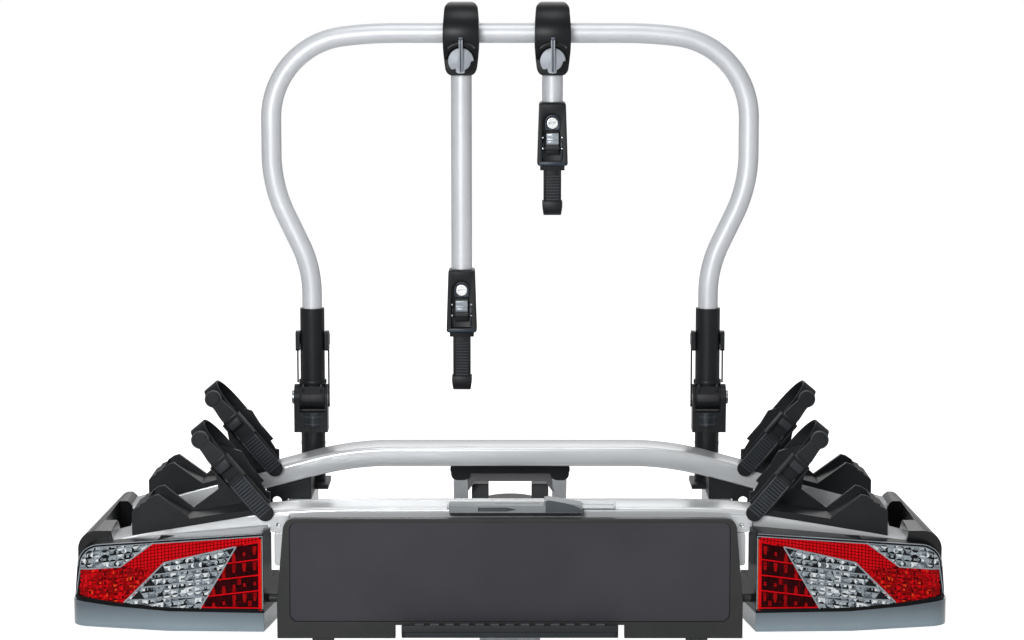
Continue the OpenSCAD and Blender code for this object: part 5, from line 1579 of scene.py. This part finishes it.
def rib_tree() -> bpy.types.NodeTree:
    """Builds the tree that sets a row of straight ribs, one above the other."""
    found = group_named("rib_row")
    if found:
        return found
    tree = Tree("rib_row")
    start, pitch = tree.take("Start", "Vector"), tree.take("Pitch", "Vector")
    count, size = tree.take("Count", "Int"), tree.take("Size", "Vector")
    line = tree.add("GeometryNodeMeshLine")
    rib = tree.add("GeometryNodeMeshCube")
    place = tree.add("GeometryNodeInstanceOnPoints")
    tree.join(start, line.inputs["Start Location"])
    tree.join(pitch, line.inputs["Offset"])
    tree.join(count, line.inputs["Count"])
    tree.join(size, rib.inputs["Size"])
    tree.join(line.outputs["Mesh"], place.inputs["Points"])
    tree.join(rib.outputs["Mesh"], place.inputs["Instance"])
    return tree.finish(place.outputs["Instances"])


def ribs(
    name: str, start: Point3, pitch: Point3, count: int, size: Point3, finish: Finish
) -> bpy.types.Object:
    """Makes a row of ribs with softened edges.

    Args:
        name: The piece's name.
        start: The middle of the first rib.
        pitch: The step from rib to rib.
        count: The number of ribs.
        size: The size of one rib.
        finish: Their finish.

    Returns:
        The piece, which rides on nothing yet.
    """
    made = link(name, bpy.data.meshes.new(name))
    values = {
        "Start": Vector(start) * MM,
        "Pitch": Vector(pitch) * MM,
        "Count": count,
        "Size": Vector(size) * MM,
        "Material": finish.material(),
    }
    grow(made, rib_tree(), values)
    round_edges(made, 0.35, segments=1)
    smooth(made)
    return made


@dataclass
class FrameHolder:
    """A frame holder on the U-bar: clamp, knob, head, buckle, strap and arm."""

    name: str
    x: float
    head_z: float
    end_z: float
    nodes: dict[str, bpy.types.Object]
    bar_y: float = -90.0
    knob_z: float = 618.0
    knob_y: float = -112.3
    knob_r: float = 16.0
    head_h: float = 81.0
    head_w: float = 39.0
    head_top_w: float = 34.0
    head_front: float = 20.0
    strap_w: float = 22.5
    strap_t: float = 2.8
    strap_gap: float = 8.0
    collar_h: float = 6.0
    rib_pitch: float = 3.7
    waist: tuple[Point2, ...] = (
        (599, 0.87), (606, 0.9), (618, 0.97), (632, 1.02), (646, 1.04),
        (660, 1.03), (672, 0.99), (684, 0.95), (692, 0.92),
    )
    slot_r: Point2 = (21.6, 25.2)
    slot_y: Point2 = (-140.0, -121.5)
    pad_profile: tuple[Point2, ...] = (
        (-39.4, 0.2), (-40.2, 0.9), (-43, 0.9), (-45.5, 0.3), (-47.5, 0.2),
        (-49, 1.4), (-50.4, 1.7), (-53, 1.2), (-53.8, 0.4),
    )

    @property
    def head_foot(self) -> float:
        """Returns the height of the head's lower edge."""
        return self.head_z - self.head_h

    def part(self, end: str) -> str:
        """Returns the name of one of the holder's parts or bodies."""
        return f"{self.name}_{end}"

    def clamp(self) -> None:
        """Makes the clamp, waisted over and under the bar, with the slot over the knob.

        The slot's faces are near-black, which paints the shade in the recess.
        """
        node = self.part("clamp")
        piece = welded_copy(self.nodes[node], f"{node}_made")
        self.draw_in(piece)
        inner, outer = self.slot_r
        knob = (self.x, self.knob_z)
        slot = Form()
        outline = arc(knob, inner, range(42, 139, 4)) + arc(knob, outer, range(138, 41, -4))
        slot.prism(outline, Plane.XZ, *self.slot_y)
        slot.outwards()
        self.carve(piece, slot, "DIFFERENCE")
        round_edges(piece, 1.0, angle=40)
        smooth(piece)
        paint(piece, CLAMP_BLACK, SHADE_PAINT_BLACK)
        # Faces in the slot take the near-black, which paints the shade in the recess over the knob.
        for face in piece.data.polygons:
            x, y, z = face.center / MM
            away = math.hypot(x - self.x, z - self.knob_z)
            in_slot = inner - 0.3 < away < outer + 0.3 and z > self.knob_z + 15.2
            face.material_index = int(in_slot and y < self.bar_y - 28)
        fit(piece, self.part("holder"), CLAMP_BLACK, node)

    def draw_in(self, piece: bpy.types.Object) -> None:
        """Narrows and widens the clamp along its height as its waist asks.

        Args:
            piece: The clamp's piece.
        """
        bm = bmesh.new()
        bm.from_mesh(piece.data)
        for z, _ in self.waist[1:-1]:
            bmesh.ops.bisect_plane(bm, geom=whole(bm), plane_co=(0, 0, z * MM), plane_no=(0, 0, 1))
        for vert in bm.verts:
            z = vert.co.z / MM
            for (z0, f0), (z1, f1) in zip(self.waist, self.waist[1:]):
                if z0 <= z <= z1 + 0.6:
                    share = f0 + (f1 - f0) * (z - z0) / (z1 - z0)
                    vert.co.x = (self.x + (vert.co.x / MM - self.x) * share) * MM
                    break
        bm.to_mesh(piece.data)
        bm.free()

    def carve(self, piece: bpy.types.Object, tool: Form, way: str) -> None:
        """Cuts a piece with a form.

        Args:
            piece: The piece.
            tool: The form, which is used up.
            way: DIFFERENCE or INTERSECT.
        """
        cutter = tool.piece("cutter", [CLAMP_BLACK])
        cut = piece.modifiers.new("carve", "BOOLEAN")
        cut.operation, cut.object, cut.solver = way, cutter, "EXACT"
        settle(piece)
        bpy.data.objects.remove(cutter)

    def knob(self) -> None:
        """Makes the clamping knob: notched disc, dark rim behind and two-ridged wing.

        The darker web between the wing's ridges is painted shade, and two small chrome triangles
        at the wing's foot are painted highlights.
        """
        form = Form()
        grey, dark, painted_highlight, black = range(4)
        centre = (self.x, self.knob_z)
        outline = []
        for degree in range(0, 360, 4):
            radius = self.knob_r
            if 292 <= degree <= 356:
                radius -= 3.4
            if 224 <= degree <= 248:
                radius -= 4.2 * (1 - abs(degree - 236) / 13)
            outline += arc(centre, radius, [degree])
        front = self.knob_y - 11
        form.prism(outline, Plane.XZ, front, self.knob_y - 1.5, grey)
        form.prism(circle(centre, 15.8, 48), Plane.XZ, front + 3.5, self.knob_y, black)
        ridge = ((1, -14), (-6.5, -14), (-13, 21), (-13, 26.6), (-9.8, 26.6), (-4.3, 16), (1, 14))
        web = ((1, -13.4), (-5, -13.4), (-11.4, 21), (-11.4, 26), (-9.8, 26), (-4.3, 16), (1, 14))
        cap = ((-13, 26.8), (-13, 30), (-9.6, 30), (-9.6, 26.8))
        # The web between the ridges takes the darker finish, which paints the shade in the groove;
        # the cap on top shares that darker tone.
        for profile, low, high, finish in (
            (ridge, -2.5, -0.9, grey),
            (ridge, 0.9, 2.5, grey),
            (web, -1, 1, dark),
            (cap, -2.5, 2.5, dark),
        ):
            side = [(front + y, self.knob_z + z) for y, z in profile]
            form.prism(side, Plane.YZ, self.x + low, self.x + high, finish)
        # Two small chrome triangles at the wing's foot: painted highlights.
        for offset in (-2.3, 2.3):
            x, low, high = self.x + offset, self.knob_z - 15, self.knob_z - 12.4
            foot = [(x - 1.3, low), (x + 1.3, low), (x, high)]
            form.prism(foot, Plane.XZ, front - 0.9, front + 1, painted_highlight)
        form.outwards()
        node = self.part("knob")
        finishes = [KNOB_GREY, KNOB_DARK, LOCK_CHROME, CLAMP_BLACK]
        piece = form.piece(f"{node}_made", finishes, width=0.45, angle=40)
        fit(piece, node, KNOB_GREY, node)

    def head(self) -> None:
        """Makes the head, a moulded block with soft corners."""
        node = self.part("head")
        piece = welded_copy(self.nodes[node], f"{node}_made")
        neck, soft, foot = 15.8, 4, self.head_foot
        outline = [(neck, foot - 8), (neck, foot)]
        outline += arc((self.head_w / 2 - soft, foot + soft), soft, range(-90, 1, 18))
        outline += arc((self.head_top_w / 2 - soft, self.head_z - soft), soft, range(0, 91, 18))
        right = [(self.x + x, z) for x, z in outline]
        left = [(self.x - x, z) for x, z in reversed(outline)]
        room = Form()
        room.prism(right + left, Plane.XZ, start=-150, end=-30)
        room.outwards()
        self.carve(piece, room, "INTERSECT")
        round_edges(piece, 1.1, angle=40)
        paint(piece, BLACK_MOULDED)
        smooth(piece)
        fit(piece, self.part("holder"), BLACK_MOULDED, node)

    def lock_plate(self) -> None:
        """Makes the plate round the lock, the two bars below it and the lip at the head's foot."""
        form = Form()
        front, foot = self.bar_y - self.head_front, self.head_foot
        floor = front + 13
        half, centre = 9.8, (self.x, self.head_z - 27)
        oval = curve(centre, (half, 11), map(math.radians, range(0, 181, 12)))
        oval += [(self.x - half, self.head_z - 36.5), (self.x + half, self.head_z - 36.5)]
        plate = self.ringed(oval, circle(centre, 7.9, 36), floor - 2.6, floor - 0.1)
        form.bm.from_mesh(plate)
        bpy.data.meshes.remove(plate)
        form.block((self.x - 17.6, front - 0.5, foot + 0.8), (self.x + 17.6, front + 3, foot + 5.2))
        for side in (-1, 1):
            inner, outer = sorted((self.x + side * 10.6, self.x + side * 13.3))
            form.block((inner, floor - 1.6, foot + 7.5), (outer, floor - 0.1, foot + 31))
        form.outwards()
        piece = form.piece(f"{self.part('lock')}_plate", [KNOB_BLUE], width=0.5, angle=40)
        fit(piece, self.part("holder"), KNOB_BLUE)

    def head_pins(self) -> None:
        """Makes the four small pins in the head's front."""
        pins = Form()
        profile = [(1.3, 6), (1.3, -0.4), (0.9, -0.9), (0.3, -1.0)]
        for z in (self.head_z - 45, self.head_z - 59):
            for side in (-1, 1):
                centre = (self.x + side * 12.2, self.bar_y - self.head_front + 3.2, z)
                pins.turned(profile, centre, Plane.XZ, 16)
        pins.outwards()
        fit(pins.piece(f"{self.name}_head_pins", [ZINC]), self.part("holder"), ZINC)

    def ringed(
        self, outer: Sequence[Point2], inner: Sequence[Point2], start: float, end: float
    ) -> bpy.types.Mesh:
        """Extrudes a plate with a hole along Y.

        Args:
            outer: The plate's outline in X and Z.
            inner: The hole's outline.
            start: Where it starts along Y.
            end: Where it ends.

        Returns:
            The plate's mesh in millimetres.
        """
        bm = bmesh.new()
        loops = []
        for outline in (outer, inner):
            verts = [bm.verts.new((u, start, v)) for u, v in outline]
            loops += [bm.edges.new((verts[i - 1], verts[i])) for i in range(len(verts))]
        filled = bmesh.ops.triangle_fill(bm, edges=loops, use_beauty=True)["geom"]
        grown = bmesh.ops.extrude_face_region(bm, geom=of_kind(filled, bmesh.types.BMFace))["geom"]
        for vert in of_kind(grown, bmesh.types.BMVert):
            vert.co.y = end
        bmesh.ops.recalc_face_normals(bm, faces=bm.faces)
        return baked(bm, "plate")

    def buckle(self) -> None:
        """Adds the silver thumb pad and the dark tail to the buckle."""
        form = Form()
        z, y = self.head_z, self.bar_y - 18.6
        left, right, back = self.x - 7.7, self.x + 7.7, y + 1.6
        rows = []
        for height, out in self.pad_profile:
            h = z + height
            face = y - out
            rows.append([(left, back, h), (left, face, h), (right, face, h), (right, back, h)])
        form.skin(rows)
        form.block((self.x - 8.4, y + 1.2, z - 66), (self.x + 8.4, y + 4.8, z - 54.6), 1)
        form.outwards()
        node = self.part("buckle")
        piece = form.piece(f"{node}_pad", [PAD_SILVER, CLAMP_BLACK], width=0.5, angle=40)
        fit(piece, node, PAD_SILVER)

    def loop(self, bend_z: float, end: float) -> list[Point2]:
        """Follows the strap down, round the tube of the bike's frame and up again.

        Args:
            bend_z: The height of the bend's centre.
            end: The height of both ends.

        Returns:
            The points of its middle line in Y and Z.
        """
        front, rear = self.bar_y - self.strap_gap, self.bar_y + self.strap_gap
        radii = (-self.strap_gap, -self.strap_gap)
        bend = curve((self.bar_y, bend_z), radii, [math.pi * i / 16 for i in range(1, 16)])
        return [(front, end), (front, bend_z), *bend, (rear, bend_z), (rear, end)]

    def strap(self) -> None:
        """Makes the strap: a band bent round the frame tube, its keeper, ladder ribs and edges."""
        half, top = self.strap_t / 2, self.head_foot
        bend_z = self.end_z + self.strap_gap + half
        form = Form()
        self.band(form, self.loop(bend_z, top - 0.2), half, self.strap_w / 2)
        form.outwards()
        band = form.piece("band", [STRAP_RUBBER], width=0.5)
        form = Form()
        self.band(form, self.loop(bend_z, bend_z + 8), self.strap_t - 0.05, 12.9, narrow=1.6)
        form.outwards()
        keeper = form.piece("keeper", [BLACK_MOULDED], width=0.8)
        front = self.bar_y - self.strap_gap - half
        low, high = bend_z + 10.5, top - self.collar_h - 2
        count = int((high - low) / self.rib_pitch)
        first = (self.x, front - 0.35, low)
        ladder = ribs("ladder", first, (0, 0, self.rib_pitch), count, (17.0, 1.5, 2.0), STRAP_RIB)
        form = Form()
        for side in (-1, 1):
            x = self.x + side * 9.2
            form.block((x - 1.3, front - 0.9, bend_z + 8.2), (x + 1.3, front + 0.4, top - 0.4))
        form.outwards()
        edge = form.piece("edge", [STRAP_RUBBER], width=0.4)
        node = self.part("strap")
        piece = merge(f"{node}_made", [band, keeper, ladder, edge])
        fit(piece, self.part("holder"), STRAP_RUBBER, node)

    def band(
        self, form: Form, middle: Sequence[Point2], half: float, side: float, narrow: float = 0.0
    ) -> None:
        """Lays a flat band along a path in the upright plane of the holder.

        Args:
            form: The mesh that it goes into.
            middle: The path's points in Y and Z.
            half: Half its thickness.
            side: Half its width.
            narrow: How much narrower each side is at the path's lowest point.
        """
        rows = []
        lowest = min(z for _, z in middle)
        for i, (y, z) in enumerate(middle):
            y0, z0 = middle[max(i - 1, 0)]
            y1, z1 = middle[min(i + 1, len(middle) - 1)]
            length = math.hypot(y1 - y0, z1 - z0)
            ny, nz = -(z1 - z0) / length * half, (y1 - y0) / length * half
            w = side - narrow * max(0.0, 1 - (z - lowest) / 9)
            rows.append([
                (self.x - w, y + ny, z + nz),
                (self.x + w, y + ny, z + nz),
                (self.x + w, y - ny, z - nz),
                (self.x - w, y - ny, z - nz),
            ])
        form.skin(rows)

    def arm(self) -> None:
        """Makes the arm, a straight tube between clamp and head."""
        node = self.part("arm")
        low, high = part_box(node)
        form = Form()
        radius = (high.x - low.x) / 2 / MM
        z0, z1 = low.z / MM, high.z / MM
        rim, middle = radius - 2, z0 + (z1 - z0) / 2
        profile = [(rim, z0), (radius, z0), (radius, middle), (radius, z1), (rim, z1)]
        form.turned(profile, (self.x, self.bar_y, 0), Plane.XY, 64)
        form.outwards()
        fit(form.piece(f"{node}_made", [SATIN_TUBE]), self.part("holder"), SATIN_TUBE, node)

    def build(self) -> set[str]:
        """Makes the holder's pieces and returns the nodes that they stand for."""
        self.clamp()
        self.knob()
        self.head()
        self.lock_plate()
        self.head_pins()
        self.buckle()
        self.strap()
        self.arm()
        return {self.part(end) for end in ("clamp", "knob", "head", "strap", "arm")}


# Wheel straps


@dataclass
class WheelStrap:
    """The moulded details of a wheel strap and its lever, in the strap's own lean."""

    name: str
    side: int
    x0: float
    rail_y: float
    foot_z: float
    lean: float = 40.0
    width: float = 20.0
    near: float = -42.0
    tail: float = 60.0
    pitch: float = 3.9
    ring_z: float = 117.3

    def placed(self, piece: bpy.types.Object) -> bpy.types.Object:
        """Leans a piece with the strap and stands it on its tray.

        Args:
            piece: The piece, made upright at the origin in millimetres of the strap.

        Returns:
            The same piece, on the right or the left of the rack.
        """
        turn = Matrix.Rotation(math.radians(self.lean), 4, "Y")
        place = Matrix.Translation(Vector((self.x0, self.rail_y, self.foot_z)) * MM)
        piece.data.transform(place @ turn)
        if self.side < 0:
            piece.data.transform(Matrix.Scale(-1, 4, (1, 0, 0)))
            turn_outwards(piece)
            smooth(piece)
        return piece

    def build(self) -> None:
        """Makes the dress of the strap's tail and that of its lever."""
        self.tail_dress()
        self.lever_dress()

    def tail_dress(self) -> None:
        """Makes the tail's ribs and rims."""
        front = self.near - 1.0
        count = int(self.tail / self.pitch)
        row = ribs(
            "row", (0, front - 0.2, 1.2), (0, 0, self.pitch), count, (17.4, 1.6, 2.9), STRAP_RIB
        )
        rims = Form()
        for side in (-1, 1):
            x = side * (self.width / 2 - 0.5)
            rims.block((x - 0.5, front - 0.9, 0.5), (x + 0.5, front + 0.8, self.tail + 2))
        rims.outwards()
        edge = rims.piece("rims", [STRAP_RIM], width=0.25)
        made = self.placed(merge(f"strap_ribs_{self.name}", [row, edge]))
        fit(made, f"tray_{self.name}", STRAP_RUBBER)

    def lever_dress(self) -> None:
        """Makes the lever's grip with its fine lines, and the rim of its round end."""
        face = self.near - 9.0
        pad = Form()
        pad.block((-8.4, face - 1.7, 70.5), (8.4, face + 0.8, 81.0))
        pad.block((-9.8, face - 2.2, 83.0), (9.8, face + 0.8, 86.4))
        pad.outwards()
        body = pad.piece("pad", [BLACK_MOULDED], width=0.5)
        lines = ribs("lines", (-6.3, face - 1.8, 75.8), (1.8, 0, 0), 8, (0.8, 0.9, 8.6), STRAP_RIM)
        ring = Form()
        section = ((10.2, 0.2), (10.2, -0.7), (9.5, -0.7), (9.5, 0.2))
        rows = []
        for i in range(33):
            turn = math.radians(-35 + 250 * i / 32)
            u, w = math.cos(turn), math.sin(turn)
            rows.append([(q * u, face + d, self.ring_z + q * w) for q, d in section])
        ring.skin(rows)
        ring.outwards()
        rim = ring.piece("rim", [STRAP_RIM])
        made = self.placed(merge(f"lever_grip_{self.name}", [body, lines, rim]))
        fit(made, f"strap_lever_{self.name}", BLACK_MOULDED)


# Fold joints, catch and pedal


@dataclass
class FoldJoint:
    """The moulded dress of one folding joint of the U-bar."""

    name: str
    x: float
    bar_y: float = -90.0
    pivot_z: float = 184.0
    sleeve_foot: float = 199.75
    knuckle_r: float = 15.95
    band_half: float = 13.6
    apron_r: float = 18.5
    apron: Point2 = (147.0, 165.4)

    def sweep(
        self, form: Form, section: Sequence[Point2], half_turn: float, finish: int = 0
    ) -> None:
        """Sweeps a section of radius and height round the front of the leg.

        Args:
            form: The form that it goes into.
            section: The corners of the section.
            half_turn: How far it reaches to each side, in degrees.
            finish: The index of its finish.
        """
        rows = []
        for i in range(25):
            turn = math.radians(-half_turn + 2 * half_turn * i / 24)
            u, v = math.sin(turn), -math.cos(turn)
            rows.append([(self.x + q * u, self.bar_y + q * v, z) for q, z in section])
        form.skin(rows, finish=finish)

    def moving(self) -> None:
        """Makes the sleeve's collar with its hooks and the knuckle's grained band."""
        form = Form()
        foot = self.sleeve_foot
        section = ((15.5, 1), (17.4, 2), (17.8, 3), (17.8, 7), (17.2, 8), (15.5, 8.6))
        self.sweep(form, [(radius, foot + height) for radius, height in section], 88)
        for side in (-1, 1):
            x = self.x + side * 11.6
            form.block(
                (x - 1.5, self.bar_y - 17.6, foot - 7), (x + 1.5, self.bar_y - 15.2, foot + 3)
            )
        inner, outer, half = self.knuckle_r - 0.4, self.knuckle_r + 0.7, self.band_half
        corners = ((-half, inner), (-half, outer), (half, outer), (half, inner))
        rows = []
        for i in range(19):
            turn = math.radians(-14 + 74 * i / 18)
            y, z = -math.cos(turn), math.sin(turn)
            rows.append([
                (self.x + w, self.bar_y + q * y, self.pivot_z + q * z) for w, q in corners
            ])
        form.skin(rows, finish=1)
        form.outwards()
        piece = form.piece(f"fold_collar_{self.name}", [BLACK_MOULDED, KNUCKLE_GRAIN], width=0.25)
        fit(piece, "u_bar", BLACK_MOULDED)

    def fixed(self) -> None:
        """Makes the smooth apron before the foot's column, with its two arcs."""
        form = Form()
        (low, top), front = self.apron, self.apron_r
        back, edge = 15.6, front - 0.6
        face = [(front, low + 0.8), (front, top - 0.8)]
        self.sweep(form, [(back, low), (edge, low), *face, (edge, top), (back, top)], 60)
        inner, outer = front - 0.3, front + 0.25
        for z in (low + 3.5, top - 5.5):
            self.sweep(form, [(inner, z), (outer, z), (outer, z + 0.8), (inner, z + 0.8)], 52, 1)
        form.outwards()
        piece = form.piece(f"fold_apron_{self.name}", [BLOCK_SLATE, STRAP_RIM])
        fit(piece, "platform", BLOCK_SLATE)

    def seat(self) -> None:
        """Paints shade on the foot's seat under the knuckle, which light hardly reaches."""
        foot = bpy.data.objects["pivot_feet_made"]
        if len(foot.data.materials) < 2:
            foot.data.materials.append(SHADE_PAINT_BLACK.material())
        for face in foot.data.polygons:
            x, y, z = face.center / MM
            beside = abs(x - self.x) < 16 and abs(y - self.bar_y) < 19
            near = beside and self.apron[0] < z < self.pivot_z
            if near and (face.normal.z > 0.5 or z > self.apron[1] + 1):
                face.material_index = 1

    def build(self) -> None:
        """Makes both pieces of the joint's dress and paints shade on its seat."""
        self.moving()
        self.fixed()
        self.seat()


@dataclass
class PlateCatch:
    """The two shades and the inlay of the number plate's sliding catch."""

    left: float = -72.0
    right: float = 86.0
    wedge: float = 36.0
    front: float = -402.0
    foot: float = 91.0

    def build(self) -> None:
        """Shades the catch's faces by the way they look and lays its inlay."""
        piece = bpy.data.objects["plate_latch_made"]
        piece.data.materials.append(LATCH_SLATE.material())
        for face in piece.data.polygons:
            x, z = face.center.x / MM, face.center.z / MM
            low = face.normal.z < 0.35
            face.material_index = int(low and (x > self.wedge or z < self.foot + 2))
        form = Form()
        front, black, slate = self.front, 0, 1
        low, high = (self.left + 0.8, self.foot + 0.3), (self.right - 0.8, self.foot + 3.6)
        form.block((low[0], front - 0.35, low[1]), (high[0], front + 0.3, high[1]), black)
        arrow = [(-38, 96.4), (-4, 96.4), (8, 98.6), (-4, 100.8), (-38, 100.8)]
        form.prism(arrow, Plane.XZ, front - 0.2, front + 0.3, black)
        inset = [(-36.5, 97.2), (-5, 97.2), (3, 98.6), (-5, 100.0), (-36.5, 100.0)]
        form.prism(inset, Plane.XZ, front - 0.35, front + 0.1, slate)
        wedge = [
            (42.4, 95), (42.4, 108.6), (46, 109.5), (64, 106.6), (76, 103.4), (84.4, 99.8),
            (85.4, 98), (85.4, 95),
        ]
        form.prism(wedge, Plane.XZ, front - 0.5, front + 0.3, slate)
        form.outwards()
        fit(form.piece("catch_inlay", [GLOSS_BLACK, LATCH_SLATE]), "plate_latch", LATCH_GREY)


@dataclass
class PedalDress:
    """The tread's rubber pads and its glossy nose."""

    half: float = 124.0
    nose_y: float = -441.0
    top_z: float = -33.0
    foot_z: float = -49.0
    pitch: float = 17.8

    def build(self) -> None:
        """Makes the row of pads and the nose."""
        count = int(2 * self.half / self.pitch)
        start = -(count - 1) * self.pitch / 2
        first = (start, self.nose_y + 5.5, self.top_z + 0.2)
        pads = ribs("pads", first, (self.pitch, 0, 0), count, (10.5, 7.5, 1.2), STRAP_RIM)
        nose = Form()
        nose.block(
            (-self.half, self.nose_y - 0.5, self.foot_z + 1.5),
            (self.half, self.nose_y + 0.5, self.top_z - 5.5),
        )
        nose.outwards()
        piece = merge("pedal_dress", [pads, nose.piece("nose", [BLOCK_SLATE], width=0.4)])
        fit(piece, "pedal", BLACK_MOULDED)


# Studio


@dataclass(frozen=True)
class Softbox:
    """A square light: where it stands, the point that it faces, its side and its power in watts."""

    place: Point3
    aim: Point3
    side: float
    power: float


@dataclass
class Studio:
    """Floor, backdrop, lamps and camera."""

    floor_z: float = -60.0
    camera_x: float = 2.5
    camera_y: float = -3729.0
    camera_z: float = 769.0
    pitch: float = 7.59
    focal_px: float = 2852.0
    width_px: float = 1024.0
    sensor: float = 36.0
    view_range: Point2 = (50.0, 60000.0)
    floor_half: float = 15000.0
    floor_shade: float = 0.9
    floor_glow: float = 0.9
    ambient: float = 0.13
    glossy: float = 0.3
    lamps: tuple[Softbox, ...] = (
        Softbox((-650, -3450, 1050), (0, -200, 250), 850, 60),
        Softbox((1700, -2900, 900), (0, -200, 200), 1300, 3),
        Softbox((0, -700, 2700), (0, -200, 100), 1000, 17),
        Softbox((0, 2600, 1900), (0, -200, 200), 2400, 26),
    )

    def build(self) -> None:
        """Makes the whole studio."""
        self.world()
        self.floor()
        for i, box in enumerate(self.lamps):
            self.lamp(f"softbox_{i}", box)
        self.camera()
        bpy.context.scene.view_settings.view_transform = "Standard"

    def lamp(self, name: str, box: Softbox) -> None:
        """Adds one softbox.

        Args:
            name: Its name.
            box: Its place, aim, size and power.
        """
        data = bpy.data.lights.new(name, "AREA")
        data.shape = "SQUARE"
        data.size = box.side * MM
        data.energy = box.power
        lamp = bpy.data.objects.new(name, data)
        lamp.location = Vector(box.place) * MM
        way = Vector(box.aim) - Vector(box.place)
        lamp.rotation_euler = way.to_track_quat("-Z", "Y").to_euler()
        bpy.context.collection.objects.link(lamp)

    def seen(self, tree: bpy.types.NodeTree) -> bpy.types.NodeSocket:
        """Tells the rays that show the background from those that light the object.

        Args:
            tree: The world's or the floor's shader tree.

        Returns:
            A socket that is 1 for camera and transmission rays and partly so for glossy ones.
        """
        path = tree.nodes.new("ShaderNodeLightPath")
        value = maths(tree, "MULTIPLY", path.outputs["Is Glossy Ray"], self.glossy)
        for name in ("Is Camera Ray", "Is Transmission Ray"):
            value = maths(tree, "MAXIMUM", value, path.outputs[name])
        return value

    def world(self) -> None:
        """Lights the object evenly and shows white behind it."""
        world = bpy.data.worlds.new("studio_world")
        bpy.context.scene.world = world
        world.use_nodes = True
        nodes, links = world.node_tree.nodes, world.node_tree.links
        nodes.clear()
        white = (1.0, 1.0, 1.0, 1.0)
        ambient = nodes.new("ShaderNodeBackground")
        fill(ambient, {"Color": white, "Strength": self.ambient})
        seen = nodes.new("ShaderNodeBackground")
        fill(seen, {"Color": white, "Strength": 1.0})
        mix = nodes.new("ShaderNodeMixShader")
        links.new(self.seen(world.node_tree), mix.inputs[0])
        links.new(ambient.outputs[0], mix.inputs[1])
        links.new(seen.outputs[0], mix.inputs[2])
        out = nodes.new("ShaderNodeOutputWorld")
        links.new(mix.outputs[0], out.inputs["Surface"])

    def floor(self) -> None:
        """Lays the pale floor, which shows white to the camera and keeps the shadow."""
        bm = bmesh.new()
        bmesh.ops.create_grid(bm, x_segments=1, y_segments=1, size=self.floor_half * MM)
        mesh = baked(bm, "floor")
        floor = bpy.data.objects.new("floor", mesh)
        floor.location = (0, 0, self.floor_z * MM)
        bpy.context.collection.objects.link(floor)
        material = bpy.data.materials.new("pale_floor")
        material.use_nodes = True
        nodes, links = material.node_tree.nodes, material.node_tree.links
        nodes.clear()
        cloth = nodes.new("ShaderNodeBsdfDiffuse")
        fill(cloth, {"Color": (self.floor_shade, self.floor_shade, self.floor_shade, 1.0)})
        glow = nodes.new("ShaderNodeEmission")
        fill(glow, {"Strength": self.floor_glow})
        both = nodes.new("ShaderNodeAddShader")
        mix = nodes.new("ShaderNodeMixShader")
        links.new(cloth.outputs[0], both.inputs[0])
        links.new(glow.outputs[0], both.inputs[1])
        links.new(self.seen(material.node_tree), mix.inputs[0])
        links.new(cloth.outputs[0], mix.inputs[1])
        links.new(both.outputs[0], mix.inputs[2])
        out = nodes.new("ShaderNodeOutputMaterial")
        links.new(mix.outputs[0], out.inputs["Surface"])
        mesh.materials.append(material)

    def camera(self) -> None:
        """Stands the camera where the photograph was taken from."""
        data = bpy.data.cameras.new("camera")
        data.sensor_width = self.sensor
        data.lens = self.focal_px * self.sensor / self.width_px
        data.clip_start, data.clip_end = (reach * MM for reach in self.view_range)
        camera = bpy.data.objects.new("camera", data)
        camera.location = Vector((self.camera_x, self.camera_y, self.camera_z)) * MM
        camera.rotation_euler = (math.radians(90 - self.pitch), 0, 0)
        bpy.context.collection.objects.link(camera)
        bpy.context.scene.camera = camera


def main() -> None:
    """Dresses the rack."""
    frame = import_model()
    nodes = frame["nodes"]
    bodies = {
        n: body for body, names in frame["record"]["behaviour"]["bodies"].items() for n in names
    }
    Studio().build()
    dress_nodes(nodes)
    own = {"u_bar", "front_rail", "rear_rail", "lamp_lenses", "lamp_reflectors"}
    own |= FrameHolder("long", x=-62.0, head_z=351.0, end_z=195.0, nodes=nodes).build()
    own |= FrameHolder("short", x=54.0, head_z=565.0, end_z=421.0, nodes=nodes).build()
    Machining(nodes, bodies).build(own)
    UBar().build()
    WheelRail(
        "front_rail", middle_y=-355.0, middle_z=85.5, flat=185.0, bend=Bend(1117.5, -15.03)
    ).build()
    WheelRail(
        "rear_rail",
        middle_y=-155.0,
        middle_z=122.5,
        flat=150.0,
        bend=Bend(377.5, -15.0),
        slope=247.5,
    ).build()
    LampOptics().build()
    for side, sign in (("left", -1), ("right", 1)):
        WheelStrap(f"front_{side}", sign, x0=291.0, rail_y=-355.0, foot_z=front_top(291.0)).build()
        WheelStrap(f"rear_{side}", sign, x0=296.0, rail_y=-155.0, foot_z=rear_top(296.0)).build()
    FoldJoint("left", x=-254.5).build()
    FoldJoint("right", x=254.5).build()
    PlateCatch().build()
    PedalDress().build()


if __name__ == "__main__":
    logging.basicConfig(level=logging.INFO)
    main()
